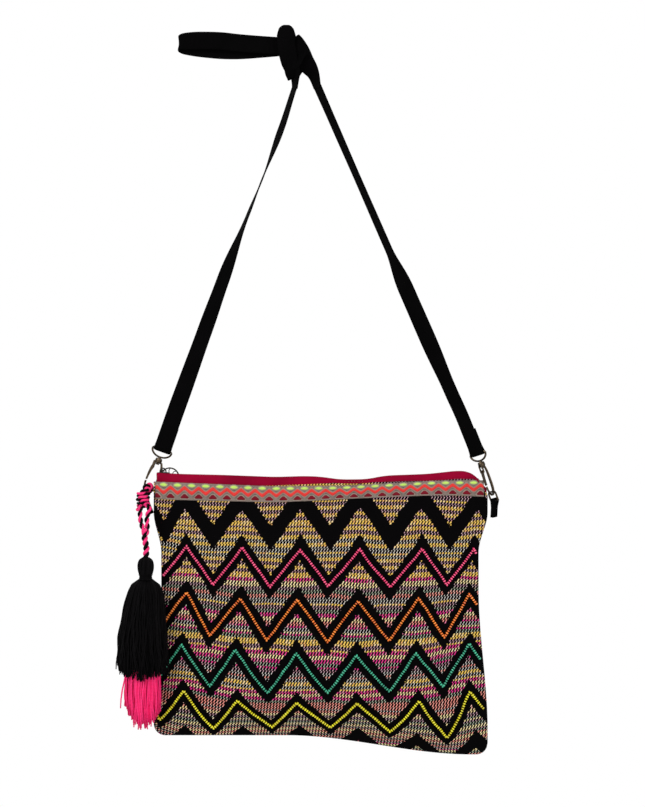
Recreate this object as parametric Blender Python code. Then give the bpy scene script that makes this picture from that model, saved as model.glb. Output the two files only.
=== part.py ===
"""Zip-top crossbody clutch, hanging by a knot tied in its webbing strap.

Metres, +Z up, +X to the right as the front is seen, front facing -Y.
The origin is the point under the strap's knot where the bag hangs.
"""

import math

import bmesh
import bpy
from mathutils import Matrix, Vector

# Clearances
GAP = 0.0003
LIFT = 0.0005

# Cloth body
BAG_LEFT_X = -0.1300
BAG_WIDTH = 0.2870
CLOTH_TOP_Z = -0.3505
CLOTH_HEIGHT = 0.2180
CLOTH_THICKNESS = 0.0012
BULGE = 0.0105
MOUTH_HALF = 0.0043
TOP_SAG = 0.0042
LEFT_PINCH = 0.0065
RIGHT_PINCH = 0.0078
RIGHT_DROP = 0.0165
BOTTOM_CORNER = 0.0100
TOP_CORNER_RUN = 0.0082
TOP_CORNER_DROP = 0.0140
RIPPLE = 0.0008

# Lining pouch
LINING_THICKNESS = 0.0006
LINING_SIDE_MARGIN = 0.0090
LINING_TOP_MARGIN = 0.0040
LINING_BOTTOM_MARGIN = 0.0160

# Zip
ZIP_RISE = 0.0056
COIL_RADIUS = 0.0010
COIL_CHANNEL = 0.0014
TAPE_THICKNESS = 0.0007
TAPE_SHOULDER = 0.0040
TAPE_LEFT_INSET = 0.0027
TAPE_RIGHT_INSET = 0.0010
COIL_LEFT_INSET = 0.0045
COIL_RIGHT_INSET = 0.0165
ZIP_END_RUN = 0.0165
ZIP_END_DROP = 0.0165
SLIDER_LENGTH = 0.0105
SLIDER_WIDTH = 0.0070
SLIDER_PLATE = 0.0011
SLIDER_INSET = 0.0085
BAIL_HEIGHT = 0.0034
BAIL_LENGTH = 0.0052
BAIL_WIRE = 0.0006
PULL_RADIUS = 0.0084
PULL_RIM = 0.0006
PULL_HUB = 0.0024
PULL_THICKNESS = 0.0010
PULL_SET_BACK = 0.0090
PULL_PETALS = 8
PULL_HANG_DEG = 48.0

# Trim ribbon
TRIM_HEIGHT = 0.0142
TRIM_THICKNESS = 0.0007
TRIM_TOP_MARGIN = 0.0008
TRIM_ZIGZAG_PERIOD = 0.0121
TRIM_ZIGZAG_WIDTH = 0.0018
TRIM_ZIGZAG_HEIGHT = 0.0040

# Chevron bands and their bead rows
SIDE_MARGIN = 0.0022
CHEVRON_PERIOD = 0.0522
CHEVRON_FIRST_PEAK = 0.0212
CHEVRON_AMPLITUDE = 0.0350
CHEVRON_BAND = 0.0193
CHEVRON_SPACING = 0.1982 * CLOTH_HEIGHT
CHEVRON_FIRST_DEPTH = 0.1376 * CLOTH_HEIGHT
CHEVRON_SLOPE = 0.055
CHEVRON_THICKNESS = 0.0005
CHEVRON_COUNT = 6
FOLD_UNDER_DEPTH = 0.8257 * CLOTH_HEIGHT
FOLD_UNDER_SHARE = 0.80
BOTTOM_MARGIN = 0.0016
BEAD_RADIUS = 0.0010
BEAD_AMPLITUDE = 0.0330

# Tabs, rings and snap hooks
WEB_THICKNESS = 0.0013
TAB_WIDTH = 0.0082
TAB_LENGTH = 0.0141
RING_HALF_LENGTH = 0.0055
RING_HEIGHT = 0.0080
RING_CORNER = 0.0025
RING_BAR_CORNER = 0.0010
RING_WIRE = 0.0009
HOOK_WIRE = 0.0012
HOOK_HEIGHT = 0.0275
HOOK_HALF_WIDTH = 0.0050
COLLAR_RADIUS = 0.0031
COLLAR_HALF_HEIGHT = 0.0022
SWIVEL_PIN = 0.0010
SWIVEL_HEAD = 0.0016
EYE_HALF_WIDTH = 0.0088
EYE_RISE = 0.0104
EYE_WIRE = 0.0009
HOOK_OFFSET = 0.00175

# Strap
WEB_WIDTH = 0.0150
STRAP_END_LENGTH = 0.0240
STRAP_FOLD_LENGTH = 0.0210
LOOP_LENGTH = 0.0945

# Tassel
CORD_RADIUS = 0.0011
CORD_RING = 0.0025
CORD_KNOT_OUT = 0.0038
CORD_KNOT_FORWARD = 0.0105
CORD_KNOT_DROP = 0.0078
CORD_KNOT_RADIUS = 0.0048
HEAD_OUT = 0.0010
HEAD_FORWARD = 0.0190
HEAD_DROP = 0.0580
HEAD_RADIUS = 0.0068
HEAD_HEIGHT = 0.0185
SKIRT_RADIUS = 0.0228
SKIRT_LENGTH = 0.0830
SKIRT_DEPTH_SHARE = 0.56
INNER_SKIRT_START = 0.0170
INNER_SKIRT_RADIUS = 0.0150
INNER_SKIRT_LENGTH = 0.1240

# Colours, linear RGB
BLACK_CLOTH = (0.012, 0.012, 0.013)
GROUND_CLOTH = (0.42, 0.33, 0.26)
LINING_CLOTH = (0.05, 0.04, 0.04)
CRIMSON = (0.35, 0.004, 0.035)
TAUPE = (0.26, 0.20, 0.17)
TRIM_RED = (0.80, 0.05, 0.06)
HOT_PINK = (0.85, 0.02, 0.14)
BEAD_PINK = (0.86, 0.06, 0.25)
BEAD_ORANGE = (0.88, 0.20, 0.03)
BEAD_GREEN = (0.02, 0.32, 0.20)
BEAD_YELLOW = (0.75, 0.72, 0.02)
BRONZE = (0.20, 0.16, 0.11)


def smooth(value):
    """Ease a value from 0 to 1."""
    value = max(0.0, min(1.0, value))
    return value * value * (3.0 - 2.0 * value)


def blend(low, high, share):
    """Mix two values."""
    return low + (high - low) * share


def clear_scene():
    """Remove what the file opened with."""
    for item in list(bpy.data.objects):
        bpy.data.objects.remove(item, do_unlink=True)


def material(name, colour, roughness, metallic=0.0):
    """Make one Principled material."""
    made = bpy.data.materials.new(name)
    made.use_nodes = True
    shader = made.node_tree.nodes["Principled BSDF"]
    shader.inputs["Base Color"].default_value = (*colour, 1.0)
    shader.inputs["Roughness"].default_value = roughness
    shader.inputs["Metallic"].default_value = metallic
    made.diffuse_color = (*colour, 1.0)
    return made


def finish(name, mesh, colour, roughness=0.85, metallic=0.0, sharp_deg=40.0):
    """Turn a bmesh in world space into a named object with its material."""
    bmesh.ops.remove_doubles(mesh, verts=mesh.verts, dist=1e-7)
    bmesh.ops.recalc_face_normals(mesh, faces=mesh.faces)
    data = bpy.data.meshes.new(name)
    mesh.to_mesh(data)
    mesh.free()
    data.shade_smooth()
    data.set_sharp_from_angle(angle=math.radians(sharp_deg))
    made = bpy.data.objects.new(name, data)
    bpy.context.scene.collection.objects.link(made)
    data.materials.append(material(name, colour, roughness, metallic))
    return made


def set_origin(item, point):
    """Move an object's origin to a point without moving its mesh."""
    item.data.transform(Matrix.Translation(-Vector(point)))
    item.location = point


def loft(rings, closed=False, capped=True):
    """Join rings of points into a skin, capped at both ends unless it closes on itself."""
    mesh = bmesh.new()
    rows = [[mesh.verts.new(point) for point in ring] for ring in rings]
    count = len(rows[0])
    last = len(rows) if closed else len(rows) - 1
    for index in range(last):
        here = rows[index]
        there = rows[(index + 1) % len(rows)]
        for side in range(count):
            after = (side + 1) % count
            mesh.faces.new((here[side], here[after], there[after], there[side]))
    if capped and not closed:
        mesh.faces.new(list(reversed(rows[0])))
        mesh.faces.new(rows[-1])
    return mesh


def circle(centre, first, second, radius, sides, turn=0.0):
    """Points of a circle in the plane of two unit vectors."""
    points = []
    for index in range(sides):
        angle = 2.0 * math.pi * index / sides + turn
        points.append(centre + first * (radius * math.cos(angle)) + second * (radius * math.sin(angle)))
    return points


def directions(path, closed=False):
    """Unit tangents along a path."""
    found = []
    count = len(path)
    for index in range(count):
        before = path[index - 1] if closed or index > 0 else path[0]
        after = path[(index + 1) % count] if closed or index < count - 1 else path[-1]
        found.append((after - before).normalized())
    return found


def tube(path, radius, sides=8, closed=False, up=(0.0, 1.0, 0.0)):
    """A round wire along a path, with a single radius or one for each point."""
    radii = radius if isinstance(radius, list) else [radius] * len(path)
    rings = []
    for centre, along, size in zip(path, directions(path, closed), radii):
        first = (Vector(up) - along * along.dot(Vector(up))).normalized()
        rings.append(circle(centre, first, along.cross(first), size, sides))
    return loft(rings, closed)


def smooth_path(points, steps=4):
    """Catmull-Rom curve through a few chosen points."""
    points = [Vector(point) for point in points]
    path = []
    for index in range(len(points) - 1):
        before = points[max(index - 1, 0)]
        start = points[index]
        end = points[index + 1]
        after = points[min(index + 2, len(points) - 1)]
        for step in range(steps):
            t = step / steps
            path.append(0.5 * (2.0 * start + (end - before) * t
                               + (2.0 * before - 5.0 * start + 4.0 * end - after) * t * t
                               + (3.0 * start - before - 3.0 * end + after) * t ** 3))
    path.append(points[-1])
    return path


def ribbon(path, across, width, thickness):
    """A flat band along a path; across gives its width direction at each point."""
    rings = []
    for centre, along, side in zip(path, directions(path), across):
        side = (side - along * side.dot(along)).normalized()
        face = along.cross(side)
        half = width / 2.0
        thin = thickness / 2.0
        rings.append([centre + side * half + face * thin, centre - side * half + face * thin,
                      centre - side * half - face * thin, centre + side * half - face * thin])
    return loft(rings)


def triangulate(item):
    """Split an object's faces into triangles, so that twisted ones are flat."""
    mesh = bmesh.new()
    mesh.from_mesh(item.data)
    bmesh.ops.triangulate(mesh, faces=mesh.faces)
    mesh.to_mesh(item.data)
    mesh.free()


def union(first, others):
    """Join solids that overlap into the first, and remove the others."""
    for item in (first, *others):
        triangulate(item)
    for index, other in enumerate(others):
        step = first.modifiers.new(f"join_{index}", "BOOLEAN")
        step.operation = "UNION"
        step.solver = "EXACT"
        step.object = other
    bpy.context.view_layer.update()
    evaluated = first.evaluated_get(bpy.context.evaluated_depsgraph_get())
    joined = bmesh.new()
    joined.from_mesh(evaluated.to_mesh())
    first.modifiers.clear()
    bmesh.ops.remove_doubles(joined, verts=joined.verts, dist=1e-7)
    joined.to_mesh(first.data)
    joined.free()
    for other in others:
        bpy.data.objects.remove(other, do_unlink=True)
    first.data.shade_smooth()
    first.data.set_sharp_from_angle(angle=math.radians(40.0))
    return first


# Outline and fullness of the cloth body


def corner_rise(distance, run, rise):
    """How far a rounded corner stands off its square one."""
    if distance >= run:
        return 0.0
    return rise * (1.0 - math.sqrt(max(0.0, 1.0 - ((run - distance) / run) ** 2)))


def pinch(depth_share):
    """How strongly the sides draw in at a share of the height."""
    held = smooth((depth_share - 0.12) / 0.16)
    released = smooth((depth_share - 0.42) / 0.56)
    return held * (1.0 - released)


def left_edge(z):
    """X of the left seam."""
    return BAG_LEFT_X + LEFT_PINCH * pinch((CLOTH_TOP_Z - z) / CLOTH_HEIGHT)


def right_edge(z):
    """X of the right seam."""
    return BAG_LEFT_X + BAG_WIDTH - RIGHT_PINCH * pinch((CLOTH_TOP_Z - z) / CLOTH_HEIGHT)


def across_share(x):
    """Share of the bag's width at X."""
    return max(0.0, min(1.0, (x - BAG_LEFT_X) / BAG_WIDTH))


def top_edge(x):
    """Z of the cloth's top edge, which sags between its ends and turns down at the right."""
    distance = BAG_LEFT_X + BAG_WIDTH - x
    cut = TOP_CORNER_DROP * max(0.0, (TOP_CORNER_RUN - distance) / TOP_CORNER_RUN) ** 1.3
    return CLOTH_TOP_Z - TOP_SAG * math.sin(math.pi * across_share(x)) - cut


def bottom_edge(x):
    """Z of the bottom seam, which hangs lower towards the right."""
    share = across_share(x)
    drop = RIGHT_DROP * smooth((share - 0.40) / 0.55)
    rise = corner_rise(x - BAG_LEFT_X, BOTTOM_CORNER, BOTTOM_CORNER)
    rise += corner_rise(BAG_LEFT_X + BAG_WIDTH - x, BOTTOM_CORNER, BOTTOM_CORNER)
    return CLOTH_TOP_Z - CLOTH_HEIGHT - drop + rise


def half_depth(x, z):
    """Distance from the middle plane to the outside of the cloth."""
    width_share = (x - left_edge(z)) / (right_edge(z) - left_edge(z))
    depth_share = (top_edge(x) - z) / (top_edge(x) - bottom_edge(x))
    width_share = max(0.0, min(1.0, width_share))
    depth_share = max(0.0, min(1.0, depth_share))
    belly = smooth(depth_share / 0.30)
    left_run = blend(0.050, 0.20, belly)
    right_run = blend(0.100, 0.20, belly)
    near = min(width_share / left_run, (1.0 - width_share) / right_run, 1.0)
    across = math.sin(0.5 * math.pi * near)
    down = blend(MOUTH_HALF / BULGE, 1.0, smooth(depth_share / 0.55))
    under = math.sin(0.5 * math.pi * min(1.0, (1.0 - depth_share) / 0.22))
    ripple = RIPPLE * math.sin(5.0 * math.pi * width_share + 1.0) * math.sin(math.pi * depth_share)
    seam = GAP / 2.0 + CLOTH_THICKNESS
    return seam + (BULGE * down + ripple) * across * under


def cloth_point(across, z):
    """X and Z at a share of the width between the seams, for a level of the cloth."""
    return blend(left_edge(z), right_edge(z), across), z


def grid_point(across, down):
    """X and Z at shares of the width and of the height."""
    x = BAG_LEFT_X + BAG_WIDTH * across
    z = blend(top_edge(x), bottom_edge(x), down)
    for _ in range(4):
        x = blend(left_edge(z), right_edge(z), across)
        z = blend(top_edge(x), bottom_edge(x), down)
    return x, z


def eased(index, count):
    """Shares from 0 to 1 that crowd towards both ends."""
    return 0.5 - 0.5 * math.cos(math.pi * index / count)


def crowded_down(index, count):
    """Shares from 0 to 1 that crowd towards the end."""
    return 1.0 - (1.0 - index / count) ** 1.6


def make_panel(name, side, columns=22, rows=14):
    """One face of the bag: a thin shell of cloth from seam to seam."""
    outer = []
    inner = []
    for row in range(rows + 1):
        outer.append([])
        inner.append([])
        for column in range(columns + 1):
            x, z = grid_point(eased(column, columns), crowded_down(row, rows))
            depth = half_depth(x, z)
            outer[row].append(Vector((x, side * depth, z)))
            inner[row].append(Vector((x, side * (depth - CLOTH_THICKNESS), z)))
    return finish(name, shell(outer, inner), GROUND_CLOTH, 0.9)


def shell(outer, inner):
    """Close two matching grids of points into one sheet."""
    mesh = bmesh.new()
    front = [[mesh.verts.new(point) for point in row] for row in outer]
    back = [[mesh.verts.new(point) for point in row] for row in inner]
    rows = len(front)
    columns = len(front[0])
    for row in range(rows - 1):
        for column in range(columns - 1):
            for grid, flip in ((front, False), (back, True)):
                corners = [grid[row][column], grid[row][column + 1],
                           grid[row + 1][column + 1], grid[row + 1][column]]
                mesh.faces.new(list(reversed(corners)) if flip else corners)
    border = [(0, column) for column in range(columns)]
    border += [(row, columns - 1) for row in range(1, rows)]
    border += [(rows - 1, column) for column in range(columns - 2, -1, -1)]
    border += [(row, 0) for row in range(rows - 2, 0, -1)]
    for index, (row, column) in enumerate(border):
        next_row, next_column = border[(index + 1) % len(border)]
        mesh.faces.new((front[next_row][next_column], front[row][column],
                        back[row][column], back[next_row][next_column]))
    bmesh.ops.triangulate(mesh, faces=mesh.faces)
    return mesh


def make_lining(columns=10, rows=7):
    """The open-topped pouch of thin cloth inside the bag."""
    def ring(down, inset):
        """One level of the pouch, front from left to right, then back."""
        left = LINING_SIDE_MARGIN + inset
        front = []
        back = []
        for column in range(columns + 1):
            across = eased(column, columns)
            share = blend(left / BAG_WIDTH, 1.0 - left / BAG_WIDTH, across)
            x, z = grid_point(share, down)
            room = half_depth(x, z) - CLOTH_THICKNESS - GAP - inset
            room *= math.sin(math.pi * across) ** 0.45
            front.append(Vector((x, -room, z)))
            back.append(Vector((x, room, z)))
        return front + back[-2:0:-1]

    top = LINING_TOP_MARGIN / CLOTH_HEIGHT
    bottom = 1.0 - LINING_BOTTOM_MARGIN / CLOTH_HEIGHT
    floor = bottom - LINING_THICKNESS / CLOTH_HEIGHT
    levels = [blend(floor, top, index / rows) for index in range(rows + 1)]
    inside = [ring(level, LINING_THICKNESS) for level in levels]
    outside = [ring(level, 0.0) for level in reversed(levels[1:])]
    outside.append(ring(bottom, 0.0))
    mesh = loft(inside + outside, capped=False)
    mesh.verts.ensure_lookup_table()
    count = 2 * columns
    for first in (0, len(mesh.verts) - count):
        edge = [mesh.verts[first + index] for index in range(count)]
        for column in range(columns):
            corners = (edge[column], edge[column + 1], edge[-column - 1], edge[-column])
            mesh.faces.new(list(dict.fromkeys(corners)))
    bmesh.ops.triangulate(mesh, faces=mesh.faces)
    return finish("lining_pouch", mesh, LINING_CLOTH, 0.9)


# Zip


def zip_line(x):
    """Z of the zip, level until its right end turns down into the side seam."""
    start = BAG_LEFT_X + BAG_WIDTH - ZIP_END_RUN
    over = max(0.0, (x - start) / ZIP_END_RUN)
    return CLOTH_TOP_Z + ZIP_RISE - ZIP_END_DROP * (1.0 - math.sqrt(max(0.0, 1.0 - over * over * 0.98)))


def coil_ends():
    """X of the two ends of the zip's teeth."""
    return BAG_LEFT_X + COIL_LEFT_INSET, BAG_LEFT_X + BAG_WIDTH - COIL_RIGHT_INSET


def make_tape(name, side, stations=22):
    """One woven zip tape, from the cloth's top edge over a shoulder to the teeth."""
    first = BAG_LEFT_X + TAPE_LEFT_INSET
    last = BAG_LEFT_X + BAG_WIDTH - TAPE_RIGHT_INSET
    coil_outer = COIL_CHANNEL / 2.0 + 2.0 * COIL_RADIUS + GAP
    thin = TAPE_THICKNESS / 2.0
    rings = []
    for index in range(stations + 1):
        x = blend(first, last, eased(index, stations))
        level = zip_line(x)
        close = smooth((x - coil_ends()[1]) / (last - coil_ends()[1]))
        foot_z = min(top_edge(x) + GAP, level - 0.0030)
        foot = half_depth(x, top_edge(x)) - CLOTH_THICKNESS / 2.0
        foot = max(foot, GAP / 2.0 + thin)
        shoulder = blend(TAPE_SHOULDER, max(foot, 0.0012), close)
        inner = blend(coil_outer, GAP / 2.0 + thin, close)
        rings.append([Vector((x, side * (foot + thin), foot_z)),
                      Vector((x, side * (shoulder + thin), level - 0.0006)),
                      Vector((x, side * inner, level + thin)),
                      Vector((x, side * inner, level - thin)),
                      Vector((x, side * (shoulder - thin), level - 0.0014)),
                      Vector((x, side * (foot - thin), foot_z))])
    return finish(name, loft(rings), CRIMSON, 0.8)


def make_coil(name, side, stations=40):
    """One row of the zip's teeth as a ribbed cord."""
    first, last = coil_ends()
    centre = side * (COIL_CHANNEL / 2.0 + COIL_RADIUS)
    path = []
    sizes = []
    for index in range(stations + 1):
        x = blend(first, last, index / stations)
        path.append(Vector((x, centre, zip_line(first))))
        sizes.append(COIL_RADIUS * (1.0 if index % 2 else 0.86))
    return finish(name, tube(path, sizes, sides=4), CRIMSON, 0.6)


def make_zip_stop(name, x):
    """A crimped metal stop across the end of the teeth."""
    height = COIL_RADIUS + 0.0002
    half = COIL_CHANNEL / 2.0 + 2.0 * COIL_RADIUS
    level = zip_line(x)
    rings = []
    for share, size in ((-1.0, 0.7), (-0.6, 1.0), (0.6, 1.0), (1.0, 0.7)):
        place = x + share * 0.0009
        rings.append([Vector((place, half * size, level + height * size)),
                      Vector((place, -half * size, level + height * size)),
                      Vector((place, -half * size, level - height * size)),
                      Vector((place, half * size, level - height * size))])
    return finish(name, loft(rings), BRONZE, 0.35, 1.0)


def slider_x():
    """X of the slider when the zip is closed."""
    return BAG_LEFT_X + SLIDER_INSET


def bail_axis():
    """The line about which the pull turns, over the slider."""
    top = CLOTH_TOP_Z + ZIP_RISE + COIL_RADIUS + GAP + SLIDER_PLATE
    return Vector((slider_x() - 0.0006, 0.0, top + BAIL_HEIGHT / 2.0 - BAIL_WIRE / 2.0))


def plate(name, level, length, width, thickness):
    """A slider plate, drawn in towards its tail and rounded at its edge."""
    outline = []
    for index in range(16):
        angle = 2.0 * math.pi * index / 16
        taper = 1.0 - 0.22 * smooth(0.5 + 0.5 * math.cos(angle))
        x = length / 2.0 * math.copysign(abs(math.cos(angle)) ** 0.6, math.cos(angle))
        y = width / 2.0 * taper * math.copysign(abs(math.sin(angle)) ** 0.6, math.sin(angle))
        outline.append(Vector((slider_x() + x, y, level)))
    centre = Vector((slider_x(), 0.0, level))
    rings = []
    for share, size in ((-0.5, 0.90), (-0.2, 1.0), (0.2, 1.0), (0.5, 0.90)):
        rings.append([centre + (point - centre) * size + Vector((0.0, 0.0, thickness * share))
                      for point in outline])
    return finish(name, loft(rings), BRONZE, 0.35, 1.0)


def make_slider():
    """Slider: two plates, the wedge between them and the bail for the pull."""
    level = CLOTH_TOP_Z + ZIP_RISE
    offset = COIL_RADIUS + GAP + SLIDER_PLATE / 2.0
    body = plate("zip_slider", level + offset, SLIDER_LENGTH, SLIDER_WIDTH, SLIDER_PLATE)
    lower = plate("lower_plate", level - offset, SLIDER_LENGTH, SLIDER_WIDTH * 0.86, SLIDER_PLATE)
    wedge_width = COIL_CHANNEL - 2.0 * GAP
    wedge = box("wedge", Vector((slider_x(), 0.0, level)),
                (SLIDER_LENGTH * 0.5, wedge_width, 2.0 * offset + 0.0002))
    top = level + offset
    arch = []
    for index in range(13):
        angle = math.pi * index / 12
        arch.append(Vector((bail_axis().x - BAIL_LENGTH / 2.0 * math.cos(angle), 0.0,
                            top + (BAIL_HEIGHT + SLIDER_PLATE / 2.0) * math.sin(angle) ** 0.7)))
    bail = finish("bail", tube(arch, BAIL_WIRE, sides=8), BRONZE, 0.35, 1.0)
    slider = union(body, [lower, wedge, bail])
    set_origin(slider, (slider_x(), 0.0, level))
    return slider


def box(name, centre, size):
    """A plain block."""
    mesh = bmesh.new()
    bmesh.ops.create_cube(mesh, size=1.0)
    bmesh.ops.scale(mesh, vec=Vector(size), verts=mesh.verts)
    bmesh.ops.translate(mesh, vec=centre, verts=mesh.verts)
    return finish(name, mesh, BRONZE, 0.35, 1.0)


def make_pull():
    """Openwork disc on a cross pin, hanging behind the zip."""
    axis = bail_axis()
    hang = math.radians(PULL_HANG_DEG)
    reach = PULL_RADIUS - PULL_RIM
    centre = axis + Vector((reach * math.cos(hang), PULL_SET_BACK, -reach * math.sin(hang)))
    x_dir = Vector((1.0, 0.0, 0.0))
    z_dir = Vector((0.0, 0.0, 1.0))
    half = PULL_THICKNESS / 2.0

    def annulus(name, outer, inner, count):
        """A flat ring in the disc's plane."""
        rings = []
        for index in range(count):
            angle = 2.0 * math.pi * index / count
            out = x_dir * math.cos(angle) + z_dir * math.sin(angle)
            rings.append([centre + out * outer + Vector((0.0, -half, 0.0)),
                          centre + out * outer + Vector((0.0, half, 0.0)),
                          centre + out * inner + Vector((0.0, half, 0.0)),
                          centre + out * inner + Vector((0.0, -half, 0.0))])
        return finish(name, loft(rings, closed=True), BRONZE, 0.4, 1.0)

    pieces = [annulus("hub", PULL_HUB, PULL_HUB * 0.4, 12)]
    for petal in range(PULL_PETALS):
        angle = 2.0 * math.pi * petal / PULL_PETALS + math.pi - hang
        out = x_dir * math.cos(angle) + z_dir * math.sin(angle)
        turn = x_dir * -math.sin(angle) + z_dir * math.cos(angle)
        middle = 0.5 * (PULL_HUB + PULL_RADIUS)
        bow = [centre + out * (PULL_HUB * 0.8), centre + out * middle + turn * 0.0011,
               centre + out * (PULL_RADIUS - PULL_RIM)]
        pieces.append(finish(f"petal_{petal}", tube(bow, PULL_RIM * 0.6, sides=4), BRONZE, 0.4, 1.0))
    pin = [axis + Vector((0.0, -0.0022, 0.0)), axis + Vector((0.0, PULL_SET_BACK + half * 0.5, 0.0))]
    pieces.append(finish("pin", tube(pin, BAIL_WIRE * 0.8, sides=10, up=(0.0, 0.0, 1.0)), BRONZE, 0.4, 1.0))
    button = [axis + Vector((0.0, -0.0022, 0.0)), axis + Vector((0.0, -0.0014, 0.0))]
    pieces.append(finish("button", tube(button, BAIL_WIRE * 1.8, sides=12, up=(0.0, 0.0, 1.0)), BRONZE, 0.4, 1.0))
    rim = annulus("zip_pull", PULL_RADIUS, PULL_RADIUS - 2.0 * PULL_RIM, 24)
    pull = union(rim, pieces)
    set_origin(pull, axis)
    return pull


# Skins laid on the front cloth


def skin(name, shares, upper, lower, lift, thickness, colour, parts=(0.0, 0.5, 1.0)):
    """A strip of cloth or braid that follows the front, between two level functions."""
    rings = []
    for share in shares:
        high = upper(share)
        low = lower(share)
        ring = []
        for out, order in ((thickness, parts), (0.0, parts[::-1])):
            for part in order:
                x, z = cloth_point(share, blend(high, low, part))
                ring.append(Vector((x, -(half_depth(x, z) + lift + out), z)))
        rings.append(ring)
    mesh = loft(rings)
    bmesh.ops.triangulate(mesh, faces=mesh.faces)
    return finish(name, mesh, colour, 0.9)


def zigzag(share, period, first_peak):
    """Triangle wave of height 1 at the peaks and -1 in the valleys."""
    turns = (share * BAG_WIDTH - first_peak) / period
    return 1.0 - 4.0 * abs(turns - round(turns))


def corner_shares(period, first_peak, low, high, parts=2):
    """Shares of the width at each corner of a zigzag, and between them."""
    step = period / (2.0 * parts)
    first = math.ceil((low * BAG_WIDTH - first_peak) / step)
    last = math.floor((high * BAG_WIDTH - first_peak) / step)
    inner = [(first_peak + index * step) / BAG_WIDTH for index in range(first, last + 1)]
    inner = [share for share in inner if low + 0.004 < share < high - 0.004]
    return [low] + inner + [high]


def turned_under(depth):
    """Distance down the front at which a length of cloth is seen, less where it turns under."""
    if depth < FOLD_UNDER_DEPTH:
        return depth
    return FOLD_UNDER_DEPTH + (depth - FOLD_UNDER_DEPTH) * FOLD_UNDER_SHARE


def band_level(band, share, amplitude, shift):
    """Z of a line along a chevron band; the bands slope down to the right."""
    depth = CHEVRON_FIRST_DEPTH + band * CHEVRON_SPACING + shift
    depth -= 0.5 * amplitude * zigzag(share, CHEVRON_PERIOD, CHEVRON_FIRST_PEAK)
    stretch = 1.0 - CHEVRON_SLOPE * share ** 1.2
    return CLOTH_TOP_Z - turned_under(depth) / stretch


def trim_bottom(share):
    """Z of the trim ribbon's lower edge."""
    return top_edge(BAG_LEFT_X + BAG_WIDTH * share) - TRIM_TOP_MARGIN - TRIM_HEIGHT


def bottom_limit(share):
    """The lowest level at which a skin may lie on the front."""
    return grid_point(share, 1.0)[1] + BOTTOM_MARGIN


def make_trim():
    """Woven trim ribbon under the zip, and the zigzag cord on it."""
    margin = SIDE_MARGIN / BAG_WIDTH
    end = 1.0 - (TOP_CORNER_RUN + 0.0010) / BAG_WIDTH
    shares = [blend(margin, end, eased(index, 20)) for index in range(21)]

    def upper(share):
        """Top edge of the ribbon."""
        return top_edge(BAG_LEFT_X + BAG_WIDTH * share) - TRIM_TOP_MARGIN

    skin("trim_ribbon", shares, upper, trim_bottom, LIFT, TRIM_THICKNESS, TAUPE)
    corners = corner_shares(TRIM_ZIGZAG_PERIOD, TRIM_ZIGZAG_PERIOD, margin + 0.004, end - 0.004, parts=1)

    def line(offset):
        """A line of the zigzag, offset up or down by half its width."""
        def level(share):
            """Z of the line."""
            wave = zigzag(share, TRIM_ZIGZAG_PERIOD, TRIM_ZIGZAG_PERIOD)
            return (trim_bottom(share) + TRIM_HEIGHT * 0.52 + offset
                    + 0.5 * (TRIM_ZIGZAG_HEIGHT - TRIM_ZIGZAG_WIDTH) * wave)
        return level

    skin("trim_zigzag", corners, line(TRIM_ZIGZAG_WIDTH / 2.0), line(-TRIM_ZIGZAG_WIDTH / 2.0),
         LIFT + TRIM_THICKNESS + GAP, 0.0005, TRIM_RED, (0.0, 1.0))


def make_chevrons():
    """The black zigzag bands down the front."""
    for band in range(CHEVRON_COUNT):
        lowest = band == CHEVRON_COUNT - 1
        margin = (BOTTOM_CORNER * 0.6 if lowest else SIDE_MARGIN) / BAG_WIDTH
        shares = corner_shares(CHEVRON_PERIOD, CHEVRON_FIRST_PEAK, margin, 1.0 - margin)

        def upper(share, band=band):
            """Upper edge of the band, cut by the trim and by the bottom."""
            level = band_level(band, share, CHEVRON_AMPLITUDE, -CHEVRON_BAND / 2.0)
            floor = bottom_limit(share) + (0.0026 if band < CHEVRON_COUNT - 1 else 0.0012)
            return max(min(level, trim_bottom(share) - GAP), floor)

        def lower(share, band=band):
            """Lower edge of the band, cut by the trim and by the bottom."""
            level = band_level(band, share, CHEVRON_AMPLITUDE, CHEVRON_BAND / 2.0)
            floor = bottom_limit(share) + (0.0012 + GAP if band < CHEVRON_COUNT - 1 else 0.0)
            return max(min(level, trim_bottom(share) - GAP - 0.0010), floor)

        skin(f"chevron_band_{band + 1}", shares, upper, lower, LIFT, CHEVRON_THICKNESS, BLACK_CLOTH)


def make_bead_row(name, band, colour):
    """A row of beads couched along the middle of a chevron band."""
    margin = SIDE_MARGIN / BAG_WIDTH
    shares = corner_shares(CHEVRON_PERIOD, CHEVRON_FIRST_PEAK, margin, 1.0 - margin)
    path = []
    for share in shares:
        level = max(band_level(band, share, BEAD_AMPLITUDE, 0.0), bottom_limit(share) + BEAD_RADIUS * 2.5)
        x, z = cloth_point(share, level)
        out = half_depth(x, z) + LIFT + CHEVRON_THICKNESS + LIFT + BEAD_RADIUS
        path.append(Vector((x, -out, z)))
    return finish(name, tube(path, BEAD_RADIUS, sides=5), colour, 0.3)


# Tabs, rings, hooks and strap ends


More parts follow.
